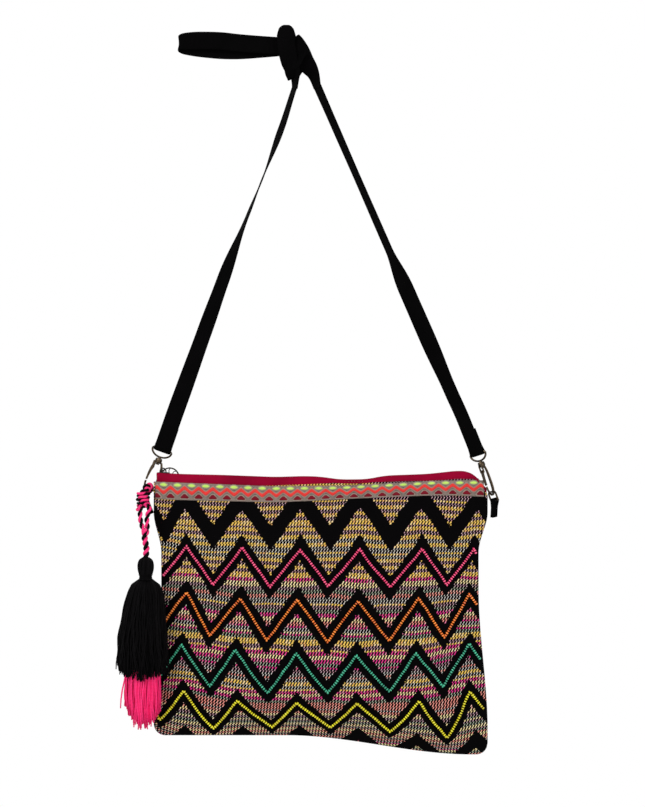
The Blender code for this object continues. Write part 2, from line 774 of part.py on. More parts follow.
class Side:
    """Where the hardware of one side hangs, in its own frame along the pull of the strap."""

    def __init__(self, name, ring_out, ring_drop, set_back, lean_deg, ring_deg, hook_deg, eye_deg, hook_shift):
        edge = left_edge if name == "left" else right_edge
        outward = -1.0 if name == "left" else 1.0
        self.name = name
        self.outward = outward
        z = CLOTH_TOP_Z - ring_drop
        self.ring = Vector((edge(z) + outward * ring_out, set_back, z))
        lean = Matrix.Rotation(math.radians(lean_deg), 3, "Y")
        self.ring_turned = lean @ Matrix.Rotation(math.radians(ring_deg), 3, "Z")
        self.turned = lean @ Matrix.Rotation(math.radians(hook_deg), 3, "Z")
        self.eye_turned = lean @ Matrix.Rotation(math.radians(eye_deg), 3, "Z")
        self.hook_shift = hook_shift
        hook_z = -(RING_WIRE + GAP + HOOK_WIRE)
        self.collar = self.at(0.0, hook_shift, hook_z + HOOK_HEIGHT)
        self.bar = self.at(0.0, 0.0, -RING_HEIGHT)
        foot_z = self.bar.z - TAB_LENGTH
        turned = math.radians(ring_deg)
        reach = WEB_THICKNESS + GAP / 2.0 + GAP + 0.5 * TAB_WIDTH * abs(math.sin(turned))
        self.foot = Vector((edge(foot_z) + outward * reach, self.bar.y, foot_z))
        self.axis = self.turned @ Vector((0.0, 0.0, 1.0))

    def at(self, across, depth, up):
        """A point in the frame of the ring."""
        return self.ring + self.ring_turned @ Vector((across, depth, up))

    def on_eye(self, across, depth, up):
        """A point in the frame of the swivelling eye, from the collar."""
        return self.collar + self.eye_turned @ Vector((across, depth, up))


def make_ring(side):
    """The D-ring in the tab."""
    half = RING_HALF_LENGTH
    path = []
    corners = ((half, 0.0, 0.0, 90.0), (-half, 0.0, 90.0, 180.0),
               (-half, -RING_HEIGHT, 180.0, 270.0), (half, -RING_HEIGHT, 270.0, 360.0))
    for across, up, start, end in corners:
        soft = RING_CORNER if up == 0.0 else RING_BAR_CORNER
        centre_a = across - math.copysign(soft, across)
        centre_u = up - soft if up == 0.0 else up + soft
        for index in range(5):
            angle = math.radians(blend(start, end, index / 4))
            path.append(side.at(0.0, centre_a + soft * math.cos(angle), centre_u + soft * math.sin(angle)))
    across = side.ring_turned @ Vector((1.0, 0.0, 0.0))
    return finish(f"d_ring_{side.name}", tube(path, RING_WIRE, 6, True, across), BRONZE, 0.35, 1.0)


def fold(name, bar, up, across, bar_radius, front_length, back_length, width):
    """A piece of webbing folded round a bar."""
    face = up.cross(across).normalized()
    spread = (WEB_THICKNESS + GAP) / 2.0
    bend = bar_radius + GAP + WEB_THICKNESS / 2.0
    flare = bend * 3.0
    path = [bar + up * front_length - face * spread, bar + up * flare - face * spread]
    for index in range(11):
        angle = math.radians(blend(-165.0, -15.0, index / 10))
        path.append(bar + face * (bend * math.cos(angle)) + up * (bend * math.sin(angle)))
    path += [bar + up * flare + face * spread, bar + up * back_length + face * spread]
    return finish(name, ribbon(path, [across] * len(path), width, WEB_THICKNESS), BLACK_CLOTH, 0.9)


def make_tab(side):
    """Webbing tab that holds the ring at the side seam."""
    across = side.ring_turned @ Vector((0.0, 1.0, 0.0))
    down = side.foot - side.bar
    down = (down - across * down.dot(across)).normalized()
    length = (side.foot - side.bar).length
    return fold(f"side_tab_{side.name}", side.bar, down, across, RING_WIRE, length, length, TAB_WIDTH)


def collar(side, name):
    """The drilled collar at the head of a hook."""
    up = side.axis
    first = side.turned @ Vector((1.0, 0.0, 0.0))
    second = up.cross(first)
    bore = SWIVEL_PIN + GAP
    rings = []
    profile = ((bore, -COLLAR_HALF_HEIGHT), (COLLAR_RADIUS * 0.80, -COLLAR_HALF_HEIGHT),
               (COLLAR_RADIUS, -COLLAR_HALF_HEIGHT * 0.5), (COLLAR_RADIUS, COLLAR_HALF_HEIGHT * 0.3),
               (COLLAR_RADIUS * 0.86, COLLAR_HALF_HEIGHT), (bore, COLLAR_HALF_HEIGHT))
    for index in range(12):
        angle = 2.0 * math.pi * index / 12
        out = first * math.cos(angle) + second * math.sin(angle)
        rings.append([side.collar + out * radius + up * level for radius, level in profile])
    return finish(name, loft(rings, closed=True), BRONZE, 0.35, 1.0)


def hook_path(side):
    """Centre line of the hook's wire from its neck round the bow to the nose."""
    wide = HOOK_HALF_WIDTH
    low = -HOOK_HEIGHT
    points = ((0.60 * wide, 0.0, -COLLAR_HALF_HEIGHT * 0.5), (0.88 * wide, 0.0, -0.17 * HOOK_HEIGHT),
              (wide, 0.0, -0.34 * HOOK_HEIGHT), (0.98 * wide, 0.0, -0.60 * HOOK_HEIGHT),
              (0.88 * wide, 0.0, -0.82 * HOOK_HEIGHT), (0.50 * wide, 0.0, 0.965 * low),
              (0.0, 0.0, low), (-0.50 * wide, 0.0, 0.965 * low), (-0.90 * wide, 0.0, 0.83 * low),
              (-0.96 * wide, 0.0, 0.70 * low))
    return [side.collar + side.turned @ Vector(point) for point in smooth_path(points, 2)]


def gate_pivot(side):
    """Centre of the gate's rivet, beside the collar."""
    return side.collar + side.turned @ Vector((-0.62 * HOOK_HALF_WIDTH, 0.0, -0.215 * HOOK_HEIGHT))


def make_hook(side):
    """Hook body: collar, back, bow and nose, with two ears that carry the gate's rivet."""
    path = hook_path(side)
    wire = []
    for index in range(len(path)):
        share = index / (len(path) - 1)
        wire.append(HOOK_WIRE * (0.80 + 0.35 * math.sin(math.pi * min(1.0, share * 1.3))))
    depth = side.turned @ Vector((0.0, 1.0, 0.0))
    body = finish("bow", tube(path, wire, 6, False, depth), BRONZE, 0.35, 1.0)
    pivot = gate_pivot(side)
    pieces = [body]
    for place in (-1.0, 1.0):
        start = side.collar + side.turned @ Vector((-0.55 * HOOK_HALF_WIDTH, place * 0.00145, -0.02 * HOOK_HEIGHT))
        end = pivot + depth * (place * 0.00145) - side.axis * 0.0012
        ear = finish(f"ear_{place}", tube([start, end], [0.0013, 0.0011], 8, False, depth), BRONZE, 0.35, 1.0)
        flatten(ear, depth, pivot + depth * (place * 0.00145), 0.42)
        pieces.append(ear)
    pin = [pivot - depth * 0.0020, pivot + depth * 0.0020]
    pieces.append(finish("rivet", tube(pin, 0.00055, 10, False, side.axis), BRONZE, 0.35, 1.0))
    return union(collar(side, f"hook_body_{side.name}"), pieces)


def flatten(item, normal, centre, share):
    """Squeeze a mesh along one direction about a point."""
    for vertex in item.data.vertices:
        off = normal.dot(vertex.co - centre)
        vertex.co -= normal * (off * (1.0 - share))


def make_gate(side):
    """Sprung gate: a lever on the rivet that closes on the hook's nose."""
    pivot = gate_pivot(side)
    depth = side.turned @ Vector((0.0, 1.0, 0.0))
    first = side.turned @ Vector((1.0, 0.0, 0.0))
    nose = hook_path(side)[-1]
    tip = nose + side.axis * (HOOK_WIRE * 0.5 + GAP)
    drop = (tip - pivot).length
    down = (tip - pivot).normalized()
    out = depth.cross(down).normalized()
    if out.dot(first) > 0.0:
        out = -out
    bore = 0.00055 + GAP * 0.8
    lower_edge = drop - 0.0001
    outline_far = [(lower_edge, -0.0008), (lower_edge, 0.0008), (lower_edge * 0.75, 0.0011),
                   (lower_edge * 0.5, 0.0014), (lower_edge * 0.25, 0.0016)]
    rounded = [(-0.0014 * math.sin(angle), 0.0015 * math.cos(angle))
               for angle in (0.0, 0.785, 1.571, 2.356, 3.142)]
    outline = outline_far + rounded + [(lower_edge * 0.25, -0.0009), (lower_edge * 0.5, -0.0007),
                                       (lower_edge * 0.75, -0.0007)]
    rings = [[pivot + down * along + out * side_way + depth * level for along, side_way in outline]
             for level in (-0.0008, 0.0008)]
    gate = finish(f"hook_gate_{side.name}", loft(rings), BRONZE, 0.35, 1.0)
    cutter = finish(f"bore_{side.name}", tube([pivot - depth * 0.004, pivot + depth * 0.004], bore, 12,
                                              False, side.axis), BRONZE)
    cut = gate.modifiers.new("bore", "BOOLEAN")
    cut.operation = "DIFFERENCE"
    cut.solver = "EXACT"
    cut.object = cutter
    cutter.hide_render = True
    cutter.display_type = "WIRE"
    set_origin(gate, pivot)
    return gate


def make_eye(side):
    """Swivelling eye: D-shaped loop, and a pin through the collar with a peened head under it."""
    rise = EYE_RISE
    foot = COLLAR_HALF_HEIGHT + GAP + EYE_WIRE
    path = []
    for index in range(17):
        angle = math.pi * (1.0 + index / 16)
        path.append(side.on_eye(EYE_HALF_WIDTH * math.cos(angle), 0.0,
                                rise - 0.0010 + (rise - 0.0010 - foot) * math.sin(angle)))
    path.append(side.on_eye(EYE_HALF_WIDTH - 0.0006, 0.0, rise))
    path.append(side.on_eye(-EYE_HALF_WIDTH + 0.0006, 0.0, rise))
    depth = side.eye_turned @ Vector((0.0, 1.0, 0.0))
    loop = finish(f"hook_eye_{side.name}", tube(path, EYE_WIRE, 6, True, depth), BRONZE, 0.35, 1.0)
    head_top = -(COLLAR_HALF_HEIGHT + GAP)
    stem = [side.on_eye(0.0, 0.0, foot), side.on_eye(0.0, 0.0, head_top - 0.0004)]
    head = [side.on_eye(0.0, 0.0, head_top), side.on_eye(0.0, 0.0, head_top - 0.0006),
            side.on_eye(0.0, 0.0, head_top - 0.0010)]
    shoulder = [side.on_eye(0.0, 0.0, foot + 0.0004), side.on_eye(0.0, 0.0, COLLAR_HALF_HEIGHT + GAP)]
    turned = side.eye_turned @ Vector((0.3, 1.0, 0.0))
    pieces = [finish("shoulder", tube(shoulder, [0.0012, 0.0019], 12, False, turned), BRONZE, 0.35, 1.0),
              finish("stem", tube(stem, SWIVEL_PIN, 10, False, depth), BRONZE, 0.35, 1.0),
              finish("head", tube(head, [SWIVEL_HEAD, SWIVEL_HEAD, SWIVEL_HEAD * 0.6], 12, False, turned),
                     BRONZE, 0.35, 1.0)]
    eye = union(loop, pieces)
    set_origin(eye, side.collar)
    return eye


# Strap


def strap_frame(side):
    """Where the strap leaves an eye: its bar, direction and width direction."""
    bar = side.on_eye(0.0, 0.0, EYE_RISE)
    head = Vector((side.outward * 0.0105, 0.0, -0.0103))
    across = side.eye_turned @ Vector((1.0, 0.0, 0.0))
    up = head - bar
    up = (up - across * up.dot(across)).normalized()
    return bar, up, across, head


def make_strap_end(side):
    """The strap's sewn fold round an eye's bar."""
    bar, up, across, _ = strap_frame(side)
    made = fold(f"strap_end_{side.name}", bar, up, across, EYE_WIRE, STRAP_END_LENGTH,
                STRAP_FOLD_LENGTH, WEB_WIDTH)
    set_origin(made, side.collar)
    return made


def leg_path(side, knot_points, rolls):
    """Centre line and width directions of one leg of the strap, from its end up into the knot."""
    bar, up, across, head = strap_frame(side)
    face = up.cross(across).normalized()
    start = bar + up * (STRAP_END_LENGTH + GAP) - face * ((WEB_THICKNESS + GAP) / 2.0)
    steps = 22
    bend = start + up * 0.0030
    path = [start, bend] + [bend.lerp(head, index / steps) for index in range(1, steps)]
    level = Vector((up.z, 0.0, -up.x)).normalized()
    sides = []
    first_roll = math.degrees(math.atan2(across.y, across.dot(level)))
    marks = [(0.0, first_roll), (0.04, first_roll)] + rolls
    for index in range(-1, steps):
        share = max(index, 0) / steps
        roll = math.radians(roll_at(marks, share))
        sides.append(level * math.cos(roll) + Vector((0.0, 1.0, 0.0)) * math.sin(roll))
    last = math.radians(marks[-1][1])
    wrap = smooth_path([head] + [Vector(point) for point, _ in knot_points], 3)
    ends = [(level * math.cos(last) + Vector((0.0, 1.0, 0.0)) * math.sin(last))]
    ends += [Vector(direction) for _, direction in knot_points]
    for index in range(len(wrap)):
        place = index / 3
        low = int(place)
        high = min(low + 1, len(ends) - 1)
        sides.append(ends[low].lerp(ends[high], place - low).normalized())
    return path + wrap, sides


def roll_at(marks, share):
    """The strap's twist at a share of a leg's length."""
    for (low, low_roll), (high, high_roll) in zip(marks, marks[1:]):
        if share <= high:
            return blend(low_roll, high_roll, smooth((share - low) / max(high - low, 1e-6)))
    return marks[-1][1]


# Twist of each leg, as shares of its length and degrees away from facing front
LEFT_TWIST = [(0.28, -28.0), (0.42, -40.0), (0.62, -78.0), (0.72, -92.0), (0.86, -72.0), (1.0, -66.0)]
RIGHT_TWIST = [(0.12, -44.0), (0.26, -24.0), (0.40, -28.0), (0.52, -68.0), (0.74, -70.0),
               (0.90, -68.0), (1.0, -66.0)]

# Each turn of the knot: centre points and the band's width direction there
LEFT_TURN = [((-0.0112, -0.0045, 0.0030), (0.95, -0.25, 0.10)),
             ((-0.0125, -0.0072, 0.0180), (1.0, 0.0, 0.05)),
             ((-0.0128, -0.0055, 0.0345), (1.0, 0.05, 0.0)),
             ((-0.0130, -0.0010, 0.0408), (1.0, 0.05, 0.0)),
             ((-0.0125, 0.0048, 0.0360), (1.0, 0.0, 0.0)),
             ((-0.0105, 0.0066, 0.0200), (1.0, 0.0, 0.0)),
             ((-0.0100, 0.0050, 0.0020), (1.0, 0.0, 0.1))]
RIGHT_TURN = [((0.0072, -0.0020, 0.0050), (0.80, 0.50, 0.25)),
              ((0.0010, -0.0042, 0.0200), (0.90, 0.15, 0.35)),
              ((-0.0060, -0.0030, 0.0315), (0.85, 0.0, 0.50)),
              ((-0.0085, 0.0020, 0.0350), (0.90, 0.0, 0.40)),
              ((-0.0050, 0.0052, 0.0260), (0.95, 0.0, 0.30)),
              ((-0.0020, 0.0050, 0.0080), (1.0, 0.0, 0.1))]


def loop_path():
    """The bight of strap that sticks out to the left of the knot, front layer then back."""
    tip = -0.0140 - LOOP_LENGTH
    front = [(-0.0080, -0.0020, 0.0235), (-0.0350, -0.0024, 0.0250), (-0.0730, -0.0026, 0.0284),
             (tip + 0.0040, -0.0022, 0.0268), (tip + 0.0012, -0.0012, 0.0265), (tip + 0.0007, 0.0, 0.0262)]
    back = [(tip + 0.0012, 0.0012, 0.0260), (tip + 0.0040, 0.0022, 0.0258), (-0.0730, 0.0026, 0.0205),
            (-0.0350, 0.0024, 0.0222), (-0.0080, 0.0020, 0.0235)]
    return smooth_path(front + back, 3)


def make_strap(sides):
    """The strap: two legs, the knot they are tied in and the loop left over."""
    turns = {"left": (LEFT_TURN, LEFT_TWIST), "right": (RIGHT_TURN, RIGHT_TWIST)}
    bands = []
    for side in sides:
        points, rolls = turns[side.name]
        path, across = leg_path(side, points, rolls)
        name = "shoulder_strap" if side.name == "left" else "right_leg"
        bands.append(finish(name, ribbon(path, across, WEB_WIDTH, WEB_THICKNESS), BLACK_CLOTH, 0.9))
    path = loop_path()
    upright = [Vector((0.0, 0.0, 1.0))] * len(path)
    bands.append(finish("loop", ribbon(path, upright, WEB_WIDTH, WEB_THICKNESS), BLACK_CLOTH, 0.9))
    core = []
    for level, wide, deep in ((0.0010, 0.003, 0.003), (0.0060, 0.0085, 0.0050), (0.0180, 0.0095, 0.0062),
                              (0.0300, 0.0080, 0.0050), (0.0385, 0.0040, 0.0025)):
        centre = Vector((-0.0052 - level * 0.12, 0.0, level))
        core.append([centre + Vector((wide * math.cos(angle), deep * math.sin(angle), 0.0))
                     for angle in (math.pi * index / 6 for index in range(12))])
    bands.append(finish("core", loft(core), BLACK_CLOTH, 0.9))
    return union(bands[0], bands[1:])


# Tassel


def fluted_ring(centre, wide, deep, flutes, groove, points, turn=0.0):
    """A level of a bundle of yarn: an oval with grooves."""
    ring = []
    for index in range(points):
        angle = 2.0 * math.pi * index / points
        scale = 1.0 - groove * (0.5 + 0.5 * math.cos(flutes * angle + turn))
        ring.append(Vector(centre) + Vector((wide * scale * math.cos(angle), deep * scale * math.sin(angle), 0.0)))
    return ring


def tassel_places(side):
    """Points down the tassel from the ring it hangs on."""
    ring = side.at(0.0, -HOOK_OFFSET, 0.0)
    knot = ring + Vector((-CORD_KNOT_OUT, -CORD_KNOT_FORWARD, -CORD_KNOT_DROP))
    head = ring + Vector((-HEAD_OUT, -HEAD_FORWARD, -HEAD_DROP))
    return ring, knot, head


def make_tassel_cord(side):
    """Two-colour cord: a turn round the ring, the knot, and the twisted length down to the head."""
    ring, knot, head = tassel_places(side)
    depth = Vector((0.0, 1.0, 0.0))
    first = Vector((1.0, 0.0, 0.0))
    up = Vector((0.0, 0.0, 1.0))
    turn = circle(ring, first, up, CORD_RING, 16)
    loop = finish("tassel_cord", tube(turn, CORD_RADIUS, 8, True), HOT_PINK, 0.8)
    neck_points = [ring + Vector((-CORD_RING, 0.0, -0.0004)), ring + Vector((-CORD_RING - 0.0017, -0.0034, -0.0032)),
                   knot + Vector((0.0, 0.0015, 0.0010))]
    neck = finish("neck", tube(smooth_path(neck_points, 3), CORD_RADIUS, 8, False, first), HOT_PINK, 0.8)
    lump = []
    for height, share in ((1.0, 0.38), (0.75, 0.79), (0.29, 1.0), (-0.25, 0.96), (-0.67, 0.83), (-1.08, 0.50)):
        level = knot + Vector((0.0, 0.0, height * CORD_KNOT_RADIUS))
        wide = share * CORD_KNOT_RADIUS
        lump.append(fluted_ring(level, wide, wide * 0.72, 4, 0.16, 12, height * 2.9))
    ball = finish("ball", loft(lump), HOT_PINK, 0.8)
    top = knot - Vector((0.0, 0.0, 0.83 * CORD_KNOT_RADIUS))
    middle = top.lerp(head, 0.25)
    path = smooth_path([top, middle, middle.lerp(head, 0.5), head], 6)
    rings = []
    for index, centre in enumerate(path):
        share = index / (len(path) - 1)
        angle = math.radians(84.0 * index)
        reach = CORD_RADIUS * blend(1.15, 0.85, share)
        lobe = Vector((math.cos(angle), math.sin(angle), 0.0))
        cross = lobe.cross(up)
        rings.append([centre + lobe * (reach * wide) + cross * (reach * deep)
                      for wide, deep in ((1.75, 0.0), (1.2, 0.75), (0.0, 0.55), (-1.2, 0.75),
                                         (-1.75, 0.0), (-1.2, -0.75), (0.0, -0.55), (1.2, -0.75))])
    twisted = finish("twisted", loft(rings), HOT_PINK, 0.8)
    cord = union(loop, [neck, ball, twisted])
    set_origin(cord, ring)
    return cord


def make_tassel_head(side):
    """The black head: a bound bundle, drawn in at its neck."""
    ring, _, head = tassel_places(side)
    profile = ((0.0, 0.30), (0.03, 0.62), (0.15, 0.90), (0.35, 1.00), (0.62, 0.98),
               (0.83, 0.84), (0.93, 0.72), (1.0, 0.78))
    rings = []
    for down, share in profile:
        level = head - Vector((0.0, 0.0, GAP + down * HEAD_HEIGHT))
        rings.append(fluted_ring(level, HEAD_RADIUS * share, HEAD_RADIUS * share, 14, 0.06, 28))
    made = finish("tassel_head", loft(rings), BLACK_CLOTH, 0.9)
    set_origin(made, ring)
    return made


def skirt_level(side, drop):
    """Centre of the skirts at a distance below the head."""
    _, _, head = tassel_places(side)
    start = head.z - HEAD_HEIGHT - 2.0 * GAP
    shift = -0.0026 * smooth(drop / 0.05)
    return Vector((head.x + shift, head.y - 0.0010 * smooth(drop / 0.03), start - drop))


def make_skirts(side):
    """The outer black skirt as a fluted bell, and the longer pink one inside it."""
    outer_profile = ((0.0, 0.30), (0.0060, 0.56), (INNER_SKIRT_START, 0.78), (0.0340, 0.92), (0.0520, 0.98),
                     (0.0680, 1.00), (SKIRT_LENGTH, 0.97))
    outer = []
    for drop, share in outer_profile:
        wide = SKIRT_RADIUS * share
        outer.append(fluted_ring(skirt_level(side, drop), wide, wide * SKIRT_DEPTH_SHARE, 16, 0.10, 32))
    wall = 0.0052
    inner = []
    for drop, share in ((SKIRT_LENGTH, 0.97), (0.0680, 1.00), (0.0340, 0.92), (INNER_SKIRT_START, 0.78)):
        wide = SKIRT_RADIUS * share - wall
        deep = max(SKIRT_RADIUS * share * SKIRT_DEPTH_SHARE - wall * 0.62, 0.0030)
        inner.append(fluted_ring(skirt_level(side, drop), wide, deep, 16, 0.0, 32))
    bell = finish("tassel_skirt_black", loft(outer + inner), BLACK_CLOTH, 0.9)
    pink = []
    for drop, share in ((INNER_SKIRT_START + GAP, 0.62), (0.0400, 0.80), (0.0700, 0.94), (0.0900, 1.00),
                        (0.1100, 1.00), (INNER_SKIRT_LENGTH, 0.88)):
        wide = INNER_SKIRT_RADIUS * share
        centre = skirt_level(side, drop) + Vector((-0.0010 * smooth(drop / 0.1), 0.0, 0.0))
        pink.append(fluted_ring(centre, wide, wide * 0.52, 16, 0.12, 32))
    inside = finish("tassel_skirt_pink", loft(pink), HOT_PINK, 0.9)
    ring, _, _ = tassel_places(side)
    set_origin(bell, ring)
    set_origin(inside, ring)


def main():
    """Build every piece of the bag."""
    clear_scene()
    make_panel("front_panel", -1.0)
    make_panel("back_panel", 1.0)
    make_lining()
    make_tape("zip_tape_front", -1.0)
    make_tape("zip_tape_back", 1.0)
    make_coil("zip_teeth_front", -1.0)
    make_coil("zip_teeth_back", 1.0)
    make_slider()
    make_pull()
    first, last = coil_ends()
    make_zip_stop("zip_stop_closed", first - 0.0009 - GAP)
    make_zip_stop("zip_stop_open", last + 0.0009 + GAP)
    make_trim()
    make_chevrons()
    make_bead_row("bead_row_pink", 1, BEAD_PINK)
    make_bead_row("bead_row_orange", 2, BEAD_ORANGE)
    make_bead_row("bead_row_green", 3, BEAD_GREEN)
    make_bead_row("bead_row_yellow", 4, BEAD_YELLOW)
    left = Side("left", 0.0048, 0.0060, 0.0045, 19.5, 0.0, 0.0, -10.0, HOOK_OFFSET)
    right = Side("right", 0.0034, 0.0089, 0.0, -20.0, 30.0, 57.0, -44.0, 0.0)
    for side in (left, right):
        make_ring(side)
        make_tab(side)
        make_hook(side)
        make_gate(side)
        make_eye(side)
        make_strap_end(side)
    make_strap((left, right))
    make_tassel_cord(left)
    make_tassel_head(left)
    make_skirts(left)


main()
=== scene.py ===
"""Crossbody bag hanging from its knotted strap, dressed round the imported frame."""

import logging
import math
from dataclasses import dataclass, field
from enum import Enum
from typing import Sequence

import bmesh
import bpy
import numpy as np
from mathutils import Matrix, Vector


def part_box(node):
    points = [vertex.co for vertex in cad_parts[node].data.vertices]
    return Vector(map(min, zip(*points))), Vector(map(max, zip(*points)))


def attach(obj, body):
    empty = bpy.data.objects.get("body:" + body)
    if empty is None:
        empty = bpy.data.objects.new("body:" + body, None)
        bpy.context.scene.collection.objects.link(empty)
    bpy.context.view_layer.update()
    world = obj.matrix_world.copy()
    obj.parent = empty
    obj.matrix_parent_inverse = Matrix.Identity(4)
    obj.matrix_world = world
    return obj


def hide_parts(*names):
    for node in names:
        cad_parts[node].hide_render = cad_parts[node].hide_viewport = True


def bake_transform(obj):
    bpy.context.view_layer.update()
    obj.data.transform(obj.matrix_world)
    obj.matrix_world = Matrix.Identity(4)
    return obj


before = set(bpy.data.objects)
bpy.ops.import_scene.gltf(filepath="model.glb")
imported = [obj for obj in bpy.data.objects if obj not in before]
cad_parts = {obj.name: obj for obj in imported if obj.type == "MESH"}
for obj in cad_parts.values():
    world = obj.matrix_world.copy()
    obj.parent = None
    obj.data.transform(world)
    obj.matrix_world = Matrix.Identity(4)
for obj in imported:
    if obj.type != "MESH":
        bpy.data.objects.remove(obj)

LOG = logging.getLogger("bag")
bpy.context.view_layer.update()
BAG = "bag"

Colour = tuple[float, float, float]
Stop = tuple[float, Sequence[float]]
Socket = bpy.types.NodeSocket


# Small helpers


def eased(value: np.ndarray | float) -> np.ndarray | float:
    """Ease values from 0 to 1."""
    value = np.clip(value, 0.0, 1.0)
    return value * value * (3.0 - 2.0 * value)


def mixed(low: float, high: float, share: np.ndarray | float) -> np.ndarray | float:
    """Mix two values."""
    return low + (high - low) * share


def deselect() -> None:
    """Deselect every object."""
    bpy.ops.object.select_all(action="DESELECT")


def only(item: bpy.types.Object) -> None:
    """Select one object and make it the active one.

    Args:
        item: The object.
    """
    deselect()
    item.select_set(True)
    bpy.context.view_layer.objects.active = item


def grid_object(name: str, points: np.ndarray, uv: np.ndarray | None = None,
                wrap: tuple[bool, bool] = (False, False), flip: bool = False) -> bpy.types.Object:
    """Make a sheet of quads from a grid of points.

    Args:
        name: The object's name.
        points: Array of rows, columns and coordinates.
        uv: Array of rows, columns and two pattern coordinates.
        wrap: Whether the rows and the columns close on themselves.
        flip: Whether the faces turn the other way.

    Returns:
        The new object.
    """
    rows, columns = points.shape[:2]
    row = np.arange(rows if wrap[0] else rows - 1)
    column = np.arange(columns if wrap[1] else columns - 1)
    first, second = np.meshgrid(row, column, indexing="ij")
    after_row = (first + 1) % rows
    after_column = (second + 1) % columns
    corners = np.stack([first * columns + second, after_row * columns + second,
                        after_row * columns + after_column, first * columns + after_column], axis=-1)
    corners = corners.reshape(-1, 4)
    if flip:
        corners = corners[:, ::-1]
    mesh = bpy.data.meshes.new(name)
    mesh.from_pydata(points.reshape(-1, 3).tolist(), [], corners.tolist())
    if uv is not None:
        layer = mesh.uv_layers.new(name="cloth")
        flat = uv.reshape(-1, 2)[corners.reshape(-1)]
        layer.data.foreach_set("uv", flat.astype(np.float32).ravel())
    mesh.shade_smooth()
    return placed(name, mesh)


def apply_all(item: bpy.types.Object) -> bpy.types.Object:
    """Apply an object's modifiers in order and return it.

    Args:
        item: The object.

    Returns:
        The object.
    """
    only(item)
    for step in list(item.modifiers):
        bpy.ops.object.modifier_apply(modifier=step.name)
    return item


def thicken(item: bpy.types.Object, thickness: float, offset: float = -1.0) -> bpy.types.Object:
    """Give a sheet its thickness and return it.

    Args:
        item: The object.
        thickness: Its thickness.
        offset: The side of the sheet that it lies on.

    Returns:
        The object.
    """
    step = item.modifiers.new("thickness", "SOLIDIFY")
    step.thickness = thickness
    step.offset = offset
    return apply_all(item)


def joined(name: str, items: Sequence[bpy.types.Object]) -> bpy.types.Object:
    """Join meshes into the first one under a new name.

    Args:
        name: The name of the result.
        items: The objects to join.

    Returns:
        The joined object.
    """
    deselect()
    for item in items:
        item.select_set(True)
    bpy.context.view_layer.objects.active = items[0]
    if len(items) > 1:
        bpy.ops.object.join()
    items[0].name = name
    return items[0]


def placed(name: str, data: bpy.types.ID) -> bpy.types.Object:
    """Make an object from its data and put it in the scene.

    Args:
        name: The name of what is made.
        data: Its data.

    Returns:
        The object.
    """
    made = bpy.data.objects.new(name, data)
    bpy.context.scene.collection.objects.link(made)
    return made


def dress(item: bpy.types.Object, material: bpy.types.Material, slot: str, *nodes: str,
          body: str = BAG) -> None:
    """Dress a piece, hang it on its body and hide the nodes of the frame that it replaces.

    Args:
        item: The piece.
        material: Its material.
        slot: Its material slot; not used.
        nodes: The nodes of the frame that it replaces.
        body: The body that it rides on.
    """
    item.data.materials.append(material)
    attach(item, body)
    if nodes:
        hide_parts(*nodes)


def set_tone(mesh: bpy.types.Mesh, tone: np.ndarray, count: int) -> None:
    """Keep one value for each strand or bead of so many points as the attribute "tone"."""
    kept = mesh.attributes.new("tone", "FLOAT", "POINT")
    kept.data.foreach_set("value", np.repeat(tone, count).astype(np.float32))


def travelled(path: np.ndarray) -> np.ndarray:
    """Length along a path at each of its points."""
    return np.concatenate([[0.0], np.cumsum(np.linalg.norm(np.diff(path, axis=0), axis=1))])


def curve_points(points: Sequence[Sequence[float]], steps: int = 6) -> np.ndarray:
    """Points of a smooth curve through a few chosen ones.

    Args:
        points: The chosen points.
        steps: Number of parts between two of them.

    Returns:
        Array of points.
    """
    given = np.array(points, float)
    padded = np.vstack([given[:1], given, given[-1:]])
    path = []
    for index in range(len(given) - 1):
        before, start, end, after = padded[index:index + 4]
        for step in range(steps):
            t = step / steps
            path.append(0.5 * (2.0 * start + (end - before) * t
                               + (2.0 * before - 5.0 * start + 4.0 * end - after) * t * t
                               + (3.0 * start - before - 3.0 * end + after) * t ** 3))
    path.append(given[-1])
    return np.array(path)


def soft_line(x: np.ndarray | float, marks: Sequence[tuple[float, float]],
              blur: float = 0.006) -> np.ndarray | float:
    """Smooth line through a few marks.

    Args:
        x: Places in metres.
        marks: Place and value of each mark in mm.
        blur: How far the corners of the line are rounded.

    Returns:
        The line's values in metres.
    """
    given = 0.001 * np.array(marks)
    near = [np.interp(x + shift, given[:, 0], given[:, 1]) for shift in np.linspace(-blur, blur, 5)]
    return sum(near) / len(near)


def unit(vectors: np.ndarray) -> np.ndarray:
    """Vectors scaled to length 1."""
    return vectors / np.maximum(np.linalg.norm(vectors, axis=-1, keepdims=True), 1e-12)


